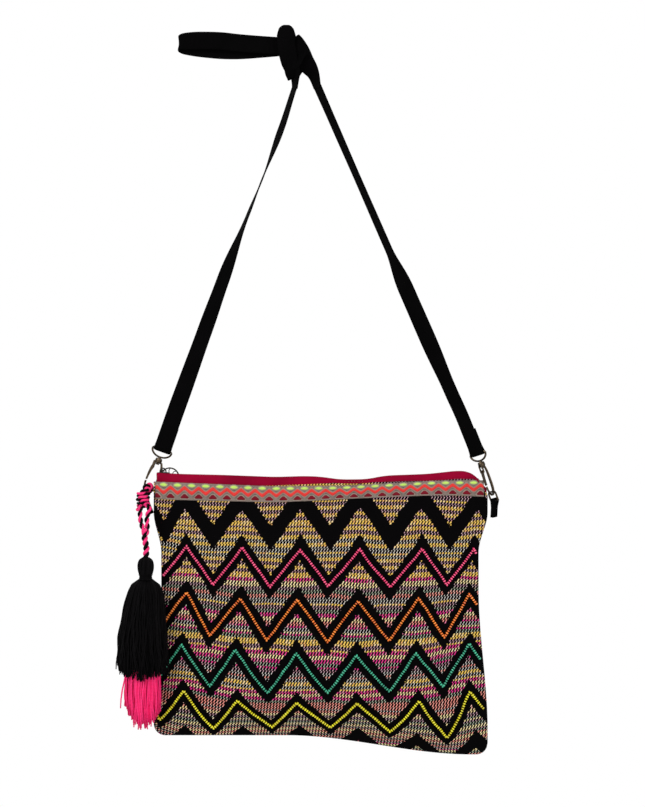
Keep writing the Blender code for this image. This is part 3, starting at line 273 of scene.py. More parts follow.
def bundle(name: str, paths: np.ndarray, radii: np.ndarray, sides: int = 5,
           tone: np.ndarray | None = None, closed: bool = False) -> bpy.types.Object:
    """Many round strands as one mesh, with their length and girth as the cloth map.

    Args:
        name: The object's name.
        paths: Array of strands, points and coordinates.
        radii: Array of strands and points.
        sides: Number of sides of a strand.
        tone: One value a strand, kept as the attribute "tone".
        closed: Whether the strands close on themselves.

    Returns:
        The new object.
    """
    count, length = paths.shape[:2]
    along = np.roll(paths, -1, 1) - np.roll(paths, 1, 1) if closed else np.gradient(paths, axis=1)
    along = unit(along)
    guide = np.zeros_like(along)
    guide[..., 1] = 1.0
    steep = np.abs(along[..., 1]) > 0.9
    guide[steep] = (1.0, 0.0, 0.0)
    first = unit(np.cross(along, guide))
    second = np.cross(along, first)
    angle = np.linspace(0.0, 2.0 * math.pi, sides, endpoint=False)
    ring = (first[:, :, None, :] * np.cos(angle)[None, None, :, None]
            + second[:, :, None, :] * np.sin(angle)[None, None, :, None])
    points = paths[:, :, None, :] + ring * radii[:, :, None, None]
    vertices = points.reshape(-1, 3)
    strand = np.arange(count)[:, None, None] * length * sides
    here = np.arange(length if closed else length - 1)[None, :, None]
    turn = np.arange(sides)[None, None, :]
    there = (here + 1) % length
    after = (turn + 1) % sides
    quads = np.stack([strand + here * sides + turn, strand + here * sides + after,
                      strand + there * sides + after, strand + there * sides + turn], -1).reshape(-1, 4)
    faces = quads.tolist()
    if not closed:
        for index in range(count):
            start = index * length * sides
            faces.append(list(range(start + sides - 1, start - 1, -1)))
            end = start + (length - 1) * sides
            faces.append(list(range(end, end + sides)))
    mesh = bpy.data.meshes.new(name)
    mesh.from_pydata(vertices.tolist(), [], faces)
    travel = np.concatenate([np.zeros((count, 1)),
                             np.cumsum(np.linalg.norm(np.diff(paths, axis=1), axis=2), 1)], 1)
    girth = np.tile(angle / (2.0 * math.pi), count * length)
    flat = np.stack([np.repeat(travel.ravel(), sides), girth * 0.01], -1)
    order = np.array([loop.vertex_index for loop in mesh.loops])
    layer = mesh.uv_layers.new(name="cloth")
    layer.data.foreach_set("uv", flat[order].astype(np.float32).ravel())
    if tone is not None:
        set_tone(mesh, tone, length * sides)
    mesh.shade_smooth()
    return placed(name, mesh)


# Node graphs


class Graph:
    """A node tree being filled, with short ways to add and join nodes."""

    def __init__(self, tree: bpy.types.NodeTree) -> None:
        """Keep the tree."""
        self.tree = tree

    def node(self, kind: str, **settings: object) -> bpy.types.Node:
        """Add a node and set its properties.

        Args:
            kind: The node's type.
            settings: Its properties.

        Returns:
            The node.
        """
        made = self.tree.nodes.new(kind)
        for name, value in settings.items():
            setattr(made, name, value)
        return made

    def feed(self, socket: Socket, value: object) -> None:
        """Join a socket to another one, or set its value.

        Args:
            socket: The socket that is fed.
            value: Another socket, or a value.
        """
        if isinstance(value, bpy.types.NodeSocket):
            self.tree.links.new(value, socket)
        elif isinstance(value, (tuple, list)) and len(value) == 3 and socket.type == "RGBA":
            socket.default_value = (*value, 1.0)
        else:
            socket.default_value = value

    def math(self, operation: str, first: object, second: object = 0.0, third: object = 0.0) -> Socket:
        """Add a Math node.

        Args:
            operation: The node's operation.
            first: First value or socket.
            second: Second value or socket.
            third: Third value or socket.

        Returns:
            Its output.
        """
        made = self.node("ShaderNodeMath", operation=operation)
        for socket, value in zip(made.inputs, (first, second, third)):
            self.feed(socket, value)
        return made.outputs[0]

    def plus(self, first: object, second: object) -> Socket:
        """Sum of two values."""
        return self.math("ADD", first, second)

    def minus(self, first: object, second: object) -> Socket:
        """Difference of two values."""
        return self.math("SUBTRACT", first, second)

    def times(self, first: object, second: object) -> Socket:
        """Product of two values."""
        return self.math("MULTIPLY", first, second)

    def over(self, first: object, second: object) -> Socket:
        """One value over another."""
        return self.math("DIVIDE", first, second)

    def size(self, value: object) -> Socket:
        """A value without its sign."""
        return self.math("ABSOLUTE", value)

    def sine(self, value: object) -> Socket:
        """Sine of a value."""
        return self.math("SINE", value)

    def floor(self, value: object) -> Socket:
        """A value rounded down."""
        return self.math("FLOOR", value)

    def nearest(self, value: object) -> Socket:
        """A value rounded."""
        return self.math("ROUND", value)

    def scaled(self, vector: Socket, factor: Sequence[float]) -> Socket:
        """Scale a vector along each axis.

        Args:
            vector: The vector.
            factor: The factor of each axis.

        Returns:
            The scaled vector.
        """
        made = self.node("ShaderNodeVectorMath", operation="MULTIPLY")
        self.feed(made.inputs[0], vector)
        made.inputs[1].default_value = tuple(factor)
        return made.outputs[0]

    def split(self, vector: Socket) -> list[Socket]:
        """The three parts of a vector.

        Args:
            vector: The vector.

        Returns:
            Its three parts.
        """
        made = self.node("ShaderNodeSeparateXYZ")
        self.feed(made.inputs[0], vector)
        return list(made.outputs)

    def mix(self, share: object, first: object, second: object, blend: str = "MIX") -> Socket:
        """Mix two colours.

        Args:
            share: Share of the second colour.
            first: First colour.
            second: Second colour.
            blend: The way they mix.

        Returns:
            The mixed colour.
        """
        made = self.node("ShaderNodeMix", data_type="RGBA", blend_type=blend)
        self.feed(made.inputs[0], share)
        self.feed(made.inputs[6], first)
        self.feed(made.inputs[7], second)
        return made.outputs[2]

    def spread(self, value: Socket, low: float, high: float, start: float = 0.0, end: float = 1.0) -> Socket:
        """Map a value from one range to another, kept inside it.

        Args:
            value: The value.
            low: Where the first range starts.
            high: Where it ends.
            start: The result at its start.
            end: The result at its end.

        Returns:
            The mapped value.
        """
        made = self.node("ShaderNodeMapRange")
        for socket, given in zip(made.inputs, (value, low, high, start, end)):
            self.feed(socket, given)
        return made.outputs[0]

    def noise(self, vector: Socket, scale: float, detail: float = 2.0, roughness: float = 0.5) -> Socket:
        """Smooth noise from 0 to 1.

        Args:
            vector: The vector.
            scale: Scale of the noise.
            detail: Its detail.
            roughness: Its roughness.

        Returns:
            The noise.
        """
        made = self.node("ShaderNodeTexNoise")
        self.feed(made.inputs["Vector"], vector)
        made.inputs["Scale"].default_value = scale
        made.inputs["Detail"].default_value = detail
        made.inputs["Roughness"].default_value = roughness
        return made.outputs["Fac"]

    def ramp(self, value: Socket, stops: Sequence[Stop], steps: bool = False) -> bpy.types.Node:
        """Add a colour ramp.

        Args:
            value: The place on the ramp.
            stops: Places with their colour, and its alpha if it has one.
            steps: Whether the colours change at once.

        Returns:
            The node.
        """
        made = self.node("ShaderNodeValToRGB")
        self.feed(made.inputs[0], value)
        ramp = made.color_ramp
        ramp.interpolation = "CONSTANT" if steps else "LINEAR"
        while len(ramp.elements) < len(stops):
            ramp.elements.new(0.5)
        for element, (place, _) in zip(ramp.elements, stops):
            element.position = place
        for element, (_, colour) in zip(ramp.elements, stops):
            element.color = tuple(colour) if len(colour) == 4 else (*colour, 1.0)
        return made

    def group(self, name: str, **values: object) -> bpy.types.Node:
        """Add a shared effect by its name and feed its inputs.

        Args:
            name: The name of what is made.
            values: The values of its inputs.

        Returns:
            The node.
        """
        made = self.node("ShaderNodeGroup")
        made.node_tree = bpy.data.node_groups[name]
        for key, value in values.items():
            self.feed(made.inputs[key.replace("_", " ").capitalize()], value)
        return made

    def cloth_map(self) -> Socket:
        """The piece's own map in millimetres."""
        source = self.node("ShaderNodeUVMap", uv_map="cloth")
        return self.scaled(source.outputs[0], (1000.0, 1000.0, 1.0))

    def place(self) -> Socket:
        """Object coordinates."""
        return self.node("ShaderNodeTexCoord").outputs["Object"]


def shared_group(name: str, inputs: dict[str, float | None],
                 outputs: Sequence[str]) -> tuple[Graph, Socket, Socket]:
    """Start a shared effect.

    Args:
        name: The group's name.
        inputs: Names of its inputs, with the value of each number and None for a vector.
        outputs: Names of its outputs.

    Returns:
        Its graph, its input sockets and its output sockets.
    """
    tree = bpy.data.node_groups.new(name, "ShaderNodeTree")
    for title, value in inputs.items():
        kind = "NodeSocketVector" if value is None else "NodeSocketFloat"
        socket = tree.interface.new_socket(title, in_out="INPUT", socket_type=kind)
        if value is not None:
            socket.default_value = value
    for title in outputs:
        tree.interface.new_socket(title, in_out="OUTPUT", socket_type="NodeSocketFloat")
    graph = Graph(tree)
    return graph, graph.node("NodeGroupInput").outputs, graph.node("NodeGroupOutput").inputs


def build_effects() -> None:
    """Make the effects that more than one finish uses."""
    graph, given, result = shared_group(
        "thread_grid", {"Vector": None, "Warp": 1.0, "Weft": 1.0}, ("Height", "Row", "Over"))
    across, down, _ = graph.split(given["Vector"])
    warp = graph.over(across, given["Warp"])
    weft = graph.over(down, given["Weft"])
    row = graph.floor(weft)
    column = graph.floor(warp)
    over = graph.size(graph.math("MODULO", graph.plus(row, column), 2.0))
    round_warp = graph.size(graph.sine(graph.times(warp, math.pi)))
    round_weft = graph.size(graph.sine(graph.times(weft, math.pi)))
    lifted = graph.times(over, round_warp)
    sunk = graph.times(graph.minus(1.0, over), round_weft)
    graph.feed(result["Height"], graph.plus(lifted, sunk))
    graph.feed(result["Row"], row)
    graph.feed(result["Over"], over)

    graph, given, result = shared_group(
        "mottle", {"Vector": None, "Scale": 20.0, "Low": 0.8, "High": 1.2}, ("Value",))
    made = graph.node("ShaderNodeTexNoise")
    graph.feed(made.inputs["Vector"], given["Vector"])
    graph.feed(made.inputs["Scale"], given["Scale"])
    made.inputs["Detail"].default_value = 3.0
    spread = graph.node("ShaderNodeMapRange")
    for socket, value in zip(spread.inputs, (made.outputs["Fac"], 0.3, 0.7, given["Low"], given["High"])):
        graph.feed(socket, value)
    graph.feed(result["Value"], spread.outputs[0])

    graph, given, result = shared_group("rubbed_edge", {"Vector": None, "Amount": 0.5}, ("Mask", "Grime"))
    pointed = graph.node("ShaderNodeNewGeometry").outputs["Pointiness"]
    patchy = graph.noise(given["Vector"], 900.0, 3.0)
    edge = graph.spread(graph.plus(pointed, graph.times(patchy, 0.06)), 0.50, 0.60)
    graph.feed(result["Mask"], graph.times(edge, given["Amount"]))
    graph.feed(result["Grime"], graph.spread(graph.noise(given["Vector"], 420.0, 4.0), 0.35, 0.65))


class Metal(Enum):
    """Metal finishes on the bag, each a dark colour and a bright colour; the bright one is the painted
    highlight on faces turned to the view and the colour of the worn edges.
    """

    BRONZE = ((0.005, 0.004, 0.003), (0.085, 0.062, 0.040))
    DARK_BRONZE = ((0.003, 0.003, 0.002), (0.045, 0.040, 0.034))
    TEETH = ((0.03, 0.022, 0.015), (0.30, 0.22, 0.13))


class Yarn(Enum):
    """Yarns of the ground cloth by first letter, as colour and share of the row that it covers."""

    MUSTARD = (0.74, 0.49, 0.10, 0.60)
    WHITE = (0.88, 0.85, 0.80, 0.25)
    PINK = (0.80, 0.48, 0.58, 0.25)
    GARNET = (0.74, 0.040, 0.26, 0.44)
    LINEN = (0.86, 0.72, 0.36, 0.44)
    ORANGE = (0.90, 0.32, 0.26, 0.38)
    NETTLE = (0.54, 0.64, 0.48, 0.26)


BLACK_YARN = (0.0016, 0.0014, 0.0016)


def principled(name: str, roughness: float, metallic: float = 0.0,
               gloss: float = 0.5) -> tuple[bpy.types.Material, Graph, bpy.types.NodeInputs]:
    """Start a material on a Principled shader.

    Args:
        name: The material's name.
        roughness: Its roughness where nothing else sets it.
        metallic: Its metallic value.
        gloss: Its specular level.

    Returns:
        The material, its graph and the shader's inputs.
    """
    made = bpy.data.materials.new(name)
    made.use_nodes = True
    shader = made.node_tree.nodes["Principled BSDF"]
    shader.inputs["Roughness"].default_value = roughness
    shader.inputs["Metallic"].default_value = metallic
    shader.inputs["Specular IOR Level"].default_value = gloss
    return made, Graph(made.node_tree), shader.inputs


def bumped(graph: Graph, inputs: bpy.types.NodeInputs, height: Socket, strength: float, depth: float) -> None:
    """Feed a height to the shader's normal.

    Args:
        graph: The material's graph.
        inputs: The shader's inputs.
        height: The height, from 0 to 1.
        strength: Strength of the bump.
        depth: Metres between heights 0 and 1.
    """
    made = graph.node("ShaderNodeBump")
    made.inputs["Strength"].default_value = strength
    made.inputs["Distance"].default_value = depth
    graph.feed(made.inputs["Height"], height)
    graph.feed(inputs["Normal"], made.outputs[0])


@dataclass(frozen=True)
class MetalFinish:
    """Plated metal, worn bright along its edges, with a painted highlight on the faces turned to the view and
    painted shade towards its grazing sides.
    """

    name: str
    metal: Metal
    # How much the edges are worn bright, and how strong the painted highlight is on the faces turned to the
    # view.
    rubbed: float = 0.8
    roughness: float = 0.32

    def material(self) -> bpy.types.Material:
        """Build the material.

        Returns:
            The material.
        """
        made, graph, inputs = principled(self.name, self.roughness, 1.0)
        place = graph.place()
        worn = graph.group("rubbed_edge", vector=place, amount=0.35 * self.rubbed)
        dark, bright = self.metal.value
        # Painted highlight and painted shade: the bright colour where the surface faces the view, fading to
        # the dark colour on the grazing sides, broken up by the grime noise.
        facing = graph.node("ShaderNodeLayerWeight").outputs["Facing"]
        patchy = graph.plus(facing, graph.times(worn.outputs["Grime"], 0.25))
        shown = graph.spread(patchy, 0.10, 0.42, self.rubbed, 0.0)
        base = graph.mix(shown, dark, bright)
        graph.feed(inputs["Base Color"], graph.mix(worn.outputs["Mask"], base, bright))
        graph.feed(inputs["Roughness"], graph.spread(worn.outputs["Grime"], 0.0, 1.0,
                                                     self.roughness + 0.16, self.roughness - 0.06))
        bumped(graph, inputs, graph.noise(place, 1500.0, 3.0), 0.25, 0.0001)
        return made


@dataclass(frozen=True)
class WovenFinish:
    """One-colour woven band or cloth, with its threads along the piece's own map and painted shade where the
    weave dips between them.
    """

    name: str
    colour: Colour
    warp: float = 0.9
    weft: float = 0.6
    roughness: float = 0.85
    depth: float = 0.00025
    # Strength of the painted shade between the threads.
    contrast: float = 0.45
    gloss: float = 0.12

    def material(self) -> bpy.types.Material:
        """Build the material.

        Returns:
            The material.
        """
        made, graph, inputs = principled(self.name, self.roughness, 0.0, self.gloss)
        cloth = graph.cloth_map()
        weave = graph.group("thread_grid", vector=cloth, warp=self.warp, weft=self.weft)
        mottle = graph.group("mottle", vector=graph.place(), scale=45.0, low=0.82, high=1.18)
        # Painted shade: the colour is darkened where the weave dips between threads, then varied by the
        # random mottle.
        shade = graph.spread(weave.outputs["Height"], 0.0, 1.0, 1.0 - self.contrast, 1.0)
        shade = graph.times(shade, mottle.outputs[0])
        tint = graph.node("ShaderNodeCombineColor")
        for socket in tint.inputs[:3]:
            graph.feed(socket, shade)
        graph.feed(inputs["Base Color"], graph.mix(1.0, self.colour, tint.outputs[0], "MULTIPLY"))
        bumped(graph, inputs, weave.outputs["Height"], 0.7, self.depth)
        return made


@dataclass(frozen=True)
class StrandFinish:
    """Yarn whose strands differ a little in tone, with a fine twist along them and painted shade in the
    grooves between the plies.
    """

    name: str
    colour: Colour
    pale: Colour
    roughness: float = 0.7
    twist: float = 0.9
    gloss: float = 0.15

    def material(self) -> bpy.types.Material:
        """Build the material.

        Returns:
            The material.
        """
        made, graph, inputs = principled(self.name, self.roughness, 0.0, self.gloss)
        tone = graph.node("ShaderNodeAttribute", attribute_name="tone").outputs["Fac"]
        along, around, _ = graph.split(graph.cloth_map())
        slant = graph.plus(graph.over(along, self.twist), graph.times(around, 0.1))
        ply = graph.size(graph.sine(graph.times(slant, math.pi)))
        colour = graph.mix(tone, self.colour, self.pale)
        # Painted shade in the twist's grooves between the plies.
        dark = tuple(0.35 * c for c in self.colour)
        graph.feed(inputs["Base Color"], graph.mix(graph.spread(ply, 0.0, 0.6, 0.6, 0.0), colour, dark))
        bumped(graph, inputs, ply, 0.5, 0.0002)
        return made


@dataclass(frozen=True)
class BeadFinish:
    """Glossy seed beads that differ a little from one to the next."""

    name: str
    colour: Colour
    deep: Colour

    def material(self) -> bpy.types.Material:
        """Build the material.

        Returns:
            The material.
        """
        made, graph, inputs = principled(self.name, 0.22)
        inputs["Coat Weight"].default_value = 0.4
        inputs["Coat Roughness"].default_value = 0.1
        tone = graph.node("ShaderNodeAttribute", attribute_name="tone").outputs["Fac"]
        graph.feed(inputs["Base Color"], graph.mix(tone, self.deep, self.colour))
        bumped(graph, inputs, graph.noise(graph.place(), 900.0, 2.0), 0.15, 0.0001)
        return made


# The pouch


Marks = tuple[tuple[float, float], ...]

# Height of the cloth's top edge above the pouch's top, along X, in mm.
CLOTH_EDGE: Marks = ((-130.0, 0.0), (-70.0, -2.2), (-30.0, -3.0), (0.0, -2.0), (30.0, 0.3), (60.0, 0.5),
                          (84.0, 1.2), (110.0, 1.6), (132.0, 3.2), (146.0, 3.2), (157.0, 2.0))


@dataclass
class Pouch:
    """Shape of the cloth pouch."""

    left: float = -0.1300
    width: float = 0.2870
    top: float = -0.3505
    height: float = 0.2180
    thickness: float = 0.0012
    bulge: float = 0.0105
    mouth: float = 0.0043
    left_pinch: float = 0.0065
    right_pinch: float = 0.0078
    right_drop: float = 0.0165
    corner: float = 0.0100
    top_corner: tuple[float, float] = (0.0082, 0.0140)
    ripple: float = 0.0008
    gap: float = 0.0003

    def pinch(self, down: np.ndarray) -> np.ndarray:
        """How strongly the sides draw in at a share of the height."""
        return eased((down - 0.12) / 0.16) * (1.0 - eased((down - 0.42) / 0.56))

    def left_edge(self, z: np.ndarray) -> np.ndarray:
        """X of the left seam."""
        return self.left + self.left_pinch * self.pinch((self.top - z) / self.height)

    def right_edge(self, z: np.ndarray) -> np.ndarray:
        """X of the right seam."""
        return self.left + self.width - self.right_pinch * self.pinch((self.top - z) / self.height)

    def top_edge(self, x: np.ndarray) -> np.ndarray:
        """Z of the cloth's top edge.

        Args:
            x: X of the places.

        Returns:
            Z of the edge at each place.
        """
        run, drop = self.top_corner
        distance = self.left + self.width - x
        cut = drop * np.maximum(0.0, (run - distance) / run) ** 1.3
        return self.top + soft_line(x, CLOTH_EDGE) - cut

    def bottom_edge(self, x: np.ndarray) -> np.ndarray:
        """Z of the bottom seam.

        Args:
            x: X of the places.

        Returns:
            Z of the seam at each place.
        """
        share = np.clip((x - self.left) / self.width, 0.0, 1.0)
        level = self.top - self.height - self.right_drop * eased((share - 0.40) / 0.55)
        for distance in (x - self.left, self.left + self.width - x):
            near = np.clip(1.0 - distance / self.corner, 0.0, 1.0)
            level = level + self.corner * (1.0 - np.sqrt(1.0 - near * near))
        return level

    def half_depth(self, x: np.ndarray, z: np.ndarray) -> np.ndarray:
        """Distance from the middle plane to the outside of the cloth.

        Args:
            x: X of the places.
            z: Z of the places.

        Returns:
            The distance at each place.
        """
        left = self.left_edge(z)
        across = np.clip((x - left) / (self.right_edge(z) - left), 0.0, 1.0)
        top = self.top_edge(x)
        down = np.clip((top - z) / (top - self.bottom_edge(x)), 0.0, 1.0)
        belly = eased(down / 0.30)
        near = np.minimum(np.minimum(across / mixed(0.050, 0.20, belly),
                                     (1.0 - across) / mixed(0.100, 0.20, belly)), 1.0)
        fullness = mixed(self.mouth / self.bulge, 1.0, eased(down / 0.55))
        under = np.sin(0.5 * math.pi * np.minimum(1.0, (1.0 - down) / 0.22))
        ripple = self.ripple * np.sin(5.0 * math.pi * across + 1.0) * np.sin(math.pi * down)
        return (self.gap / 2.0 + self.thickness
                + (self.bulge * fullness + ripple) * np.sin(0.5 * math.pi * near) * under)

    def grid_point(self, across: np.ndarray, down: np.ndarray) -> tuple[np.ndarray, np.ndarray]:
        """X and Z at shares of the width and of the height.

        Args:
            across: Shares of the width.
            down: Shares of the height.

        Returns:
            X and Z of each place.
        """
        x = self.left + self.width * across
        z = mixed(self.top_edge(x), self.bottom_edge(x), down)
        for _ in range(5):
            x = mixed(self.left_edge(z), self.right_edge(z), across)
            z = mixed(self.top_edge(x), self.bottom_edge(x), down)
        return x, z

    def face(self, x: np.ndarray, z: np.ndarray, lift: np.ndarray | float = 0.0) -> np.ndarray:
        """Points on the front cloth, or a little in front of it.

        Args:
            x: X of the places.
            z: Z of the places.
            lift: Distance in front of the cloth.

        Returns:
            Array of points.
        """
        left = self.left_edge(z)
        across = (x - left) / (self.right_edge(z) - left)
        y = -(self.half_depth(x, z) + lift + self.puckers(across, z))
        return np.stack([x, y, z], -1)

    def puckers(self, across: np.ndarray, z: np.ndarray) -> np.ndarray:
        """Small draws of the cloth along its seams and soft waves across it.

        Args:
            across: Shares of the width.
            z: Z of the places.

        Returns:
            How far the cloth stands out at each place.
        """
        down = (self.top - z) / self.height
        inside = (np.sin(math.pi * np.clip(across, 0.0, 1.0)) ** 0.5
                  * np.sin(math.pi * np.clip(down, 0.0, 1.0)) ** 0.5)
        seam = (np.exp(-across / 0.03) * np.sin(520.0 * z)
                + np.exp(-(1.0 - across) / 0.03) * np.sin(470.0 * z + 1.0))
        soft = np.sin(17.0 * across + 4.0 * down + 0.7) * np.sin(5.0 * down + 2.0 * across)
        return inside * (0.0003 * seam + 0.0005 * soft)


# Distance along the flat cloth between two corners of a line, in mm.
ROW_STEP = 51.0

# The zigzag followed over the hanging cloth: for each line down the flat cloth, the place of its first corner
# and, of every corner one step apart, X and the distance below the pouch's top. All in mm.
FOLLOWED = (
    (22.15, 24.8,
     ((-102.6, 21.8), (-54.2, 23.5), (-3.9, 22.4), (46.9, 21.2), (99.0, 21.8), (149.0, 23.5))),
    (37.85, -0.7,
     ((-120.7, 34.7), (-78.5, 37.8), (-29.2, 38.8), (21.7, 38.3), (73.5, 38.6), (124.3, 39.4))),
    (46.05, 24.8,
     ((-102.1, 44.9), (-54.2, 45.4), (-3.9, 45.9), (47.3, 44.9), (100.1, 44.9), (146.2, 45.4))),
    (55.70, 24.8,
     ((-101.5, 54.7), (-53.8, 55.8), (-4.1, 57.3), (46.9, 56.9), (100.1, 56.9), (145.1, 57.4))),
    (57.15, -0.7,
     ((-120.1, 53.1), (-78.5, 56.9), (-29.2, 58.0), (22.2, 57.4), (73.5, 59.1), (124.3, 58.0))),
    (90.70, -0.7,
     ((-125.6, 85.5), (-78.5, 88.2), (-29.7, 89.8), (19.5, 89.3), (73.0, 90.4), (121.5, 88.2))),
    (98.90, 24.8,
     ((-101.2, 94.2), (-55.3, 99.2), (-6.5, 99.9), (45.5, 101.4), (97.3, 98.9), (141.0, 96.5))),
    (133.90, -0.7,
     ((-124.7, 127.6), (-81.3, 132.0), (-32.6, 135.4), (19.5, 136.9), (71.9, 136.5), (119.3, 133.0))),
    (142.10, 24.8,
     ((-105.7, 138.9), (-59.3, 143.4), (-7.4, 146.4), (44.0, 147.8), (94.8, 145.7), (141.0, 138.9))),
    (177.10, -0.7,
     ((-126.8, 170.6), (-81.4, 175.0), (-31.6, 180.9), (19.5, 180.4), (72.2, 179.4), (118.2, 175.4))),
    (185.30, 24.8,
     ((-104.0, 178.4), (-57.8, 186.8), (-6.9, 188.3), (44.4, 189.1), (97.4, 186.8), (141.3, 179.4))),
    (218.85, 24.8,
     ((-102.8, 209.3), (-53.6, 209.8), (-4.7, 209.3), (45.6, 211.0), (96.1, 216.2), (146.4, 213.6))),
    (220.30, -0.7,
     ((-124.9, 204.6), (-78.5, 212.0), (-28.1, 210.5), (22.0, 211.0), (72.8, 214.5), (122.0, 219.4))),
    (0.00, -0.7,
     ((-122.1, 0.0), (-78.0, 0.0), (-28.5, 0.0), (21.7, 0.0), (73.0, 0.0), (124.3, 0.0))),
    (244.00, 24.8,
     ((-102.8, 224.5), (-53.6, 223.5), (-4.7, 223.5), (45.6, 225.0), (96.1, 228.5), (146.2, 231.5))),
)

# Places by the side seams: distance across and down the flat cloth, X and distance below the pouch's top, in
# mm.
BY_SEAMS = ((-14.0, 0.0, -129.9, 0.0), (291.0, 0.0, 159.1, 0.0), (-14.0, 90.0, -133.3, 82.9),
            (-14.0, 177.0, -134.2, 167.2), (-12.0, 220.0, -133.3, 198.1), (289.5, 198.6, 151.4, 192.7),
            (289.8, 69.5, 151.4, 71.2), (288.5, 110.8, 149.6, 108.4), (291.0, 20.0, 157.4, 20.1))


class Drape:
    """How the flat cloth lies over the hanging pouch: a smooth bent map between the two."""

    def __init__(self, pouch: Pouch, stiffness: float = 0.002) -> None:
        """Fit the map to the followed places.

        Args:
            pouch: The pouch.
            stiffness: How much of the small unevenness is smoothed away.
        """
        self.pouch = pouch
        places = [(first + ROW_STEP * index, down, x, drop) for down, first, corners in FOLLOWED
                  for index, (x, drop) in enumerate(corners)]
        given = 0.001 * np.array(places + list(BY_SEAMS))
        self.marks = given[:, :2]
        count = len(given)
        affine = np.column_stack([np.ones(count), self.marks])
        system = np.zeros((count + 3, count + 3))
        system[:count, :count] = self.kernel(self.marks) + stiffness * np.eye(count)
        system[:count, count:] = affine
        system[count:, :count] = affine.T
        self.weights = np.linalg.solve(system, np.vstack([given[:, 2:], np.zeros((3, 2))]))

    def kernel(self, places: np.ndarray) -> np.ndarray:
        """Influence of every mark on every place."""
        square = 100.0 * np.sum((places[:, None] - self.marks[None]) ** 2, -1) + 1e-12
        return square * np.log(square)

    def laid(self, across: np.ndarray, down: np.ndarray) -> tuple[np.ndarray, np.ndarray]:
        """X and Z on the hanging pouch of places in the flat cloth.

        Args:
            across: Distances across the flat cloth.
            down: Distances down it.

        Returns:
            X and Z of each place.
        """
        places = np.column_stack([np.ravel(across), np.ravel(down)])
        affine = np.column_stack([np.ones(len(places)), places])
        found = self.kernel(places) @ self.weights[:-3] + affine @ self.weights[-3:]
        shape = np.shape(across)
        return found[:, 0].reshape(shape), self.pouch.top - found[:, 1].reshape(shape)

    def flat(self, x: np.ndarray, z: np.ndarray) -> tuple[np.ndarray, np.ndarray]:
        """Places in the flat cloth of places on the hanging pouch.

        Args:
            x: X of the places.
            z: Z of the places.

        Returns:
            Distances across and down the flat cloth.
        """
        across, down = x - self.pouch.left, self.pouch.top - z
        for _ in range(5):
            near_x, near_z = self.laid(across, down)
            across = across + (x - near_x)
            down = down - (z - near_z)
        return across, down


@dataclass(frozen=True)
class Chevrons:
    """The zigzag bands of the cloth and the bead lines on them."""

    period: float = 0.0510
    first_peak: float = 0.0248
    amplitude: float = 0.0350
    bead_amplitude: float = 0.0345
    band: float = 0.0212
    spacing: float = 0.0432
    first_depth: float = 0.0300
    count: int = 6

    def wave(self, along: np.ndarray) -> np.ndarray:
        """Triangle wave of 1 at the peaks and -1 in the valleys."""
        turns = (along - self.first_peak) / self.period
        return 1.0 - 4.0 * np.abs(turns - np.round(turns))

    def bead_depth(self, band: int, along: np.ndarray) -> np.ndarray:
        """Distance down the flat cloth of a bead line."""
        return self.first_depth + band * self.spacing - 0.5 * self.bead_amplitude * self.wave(along)


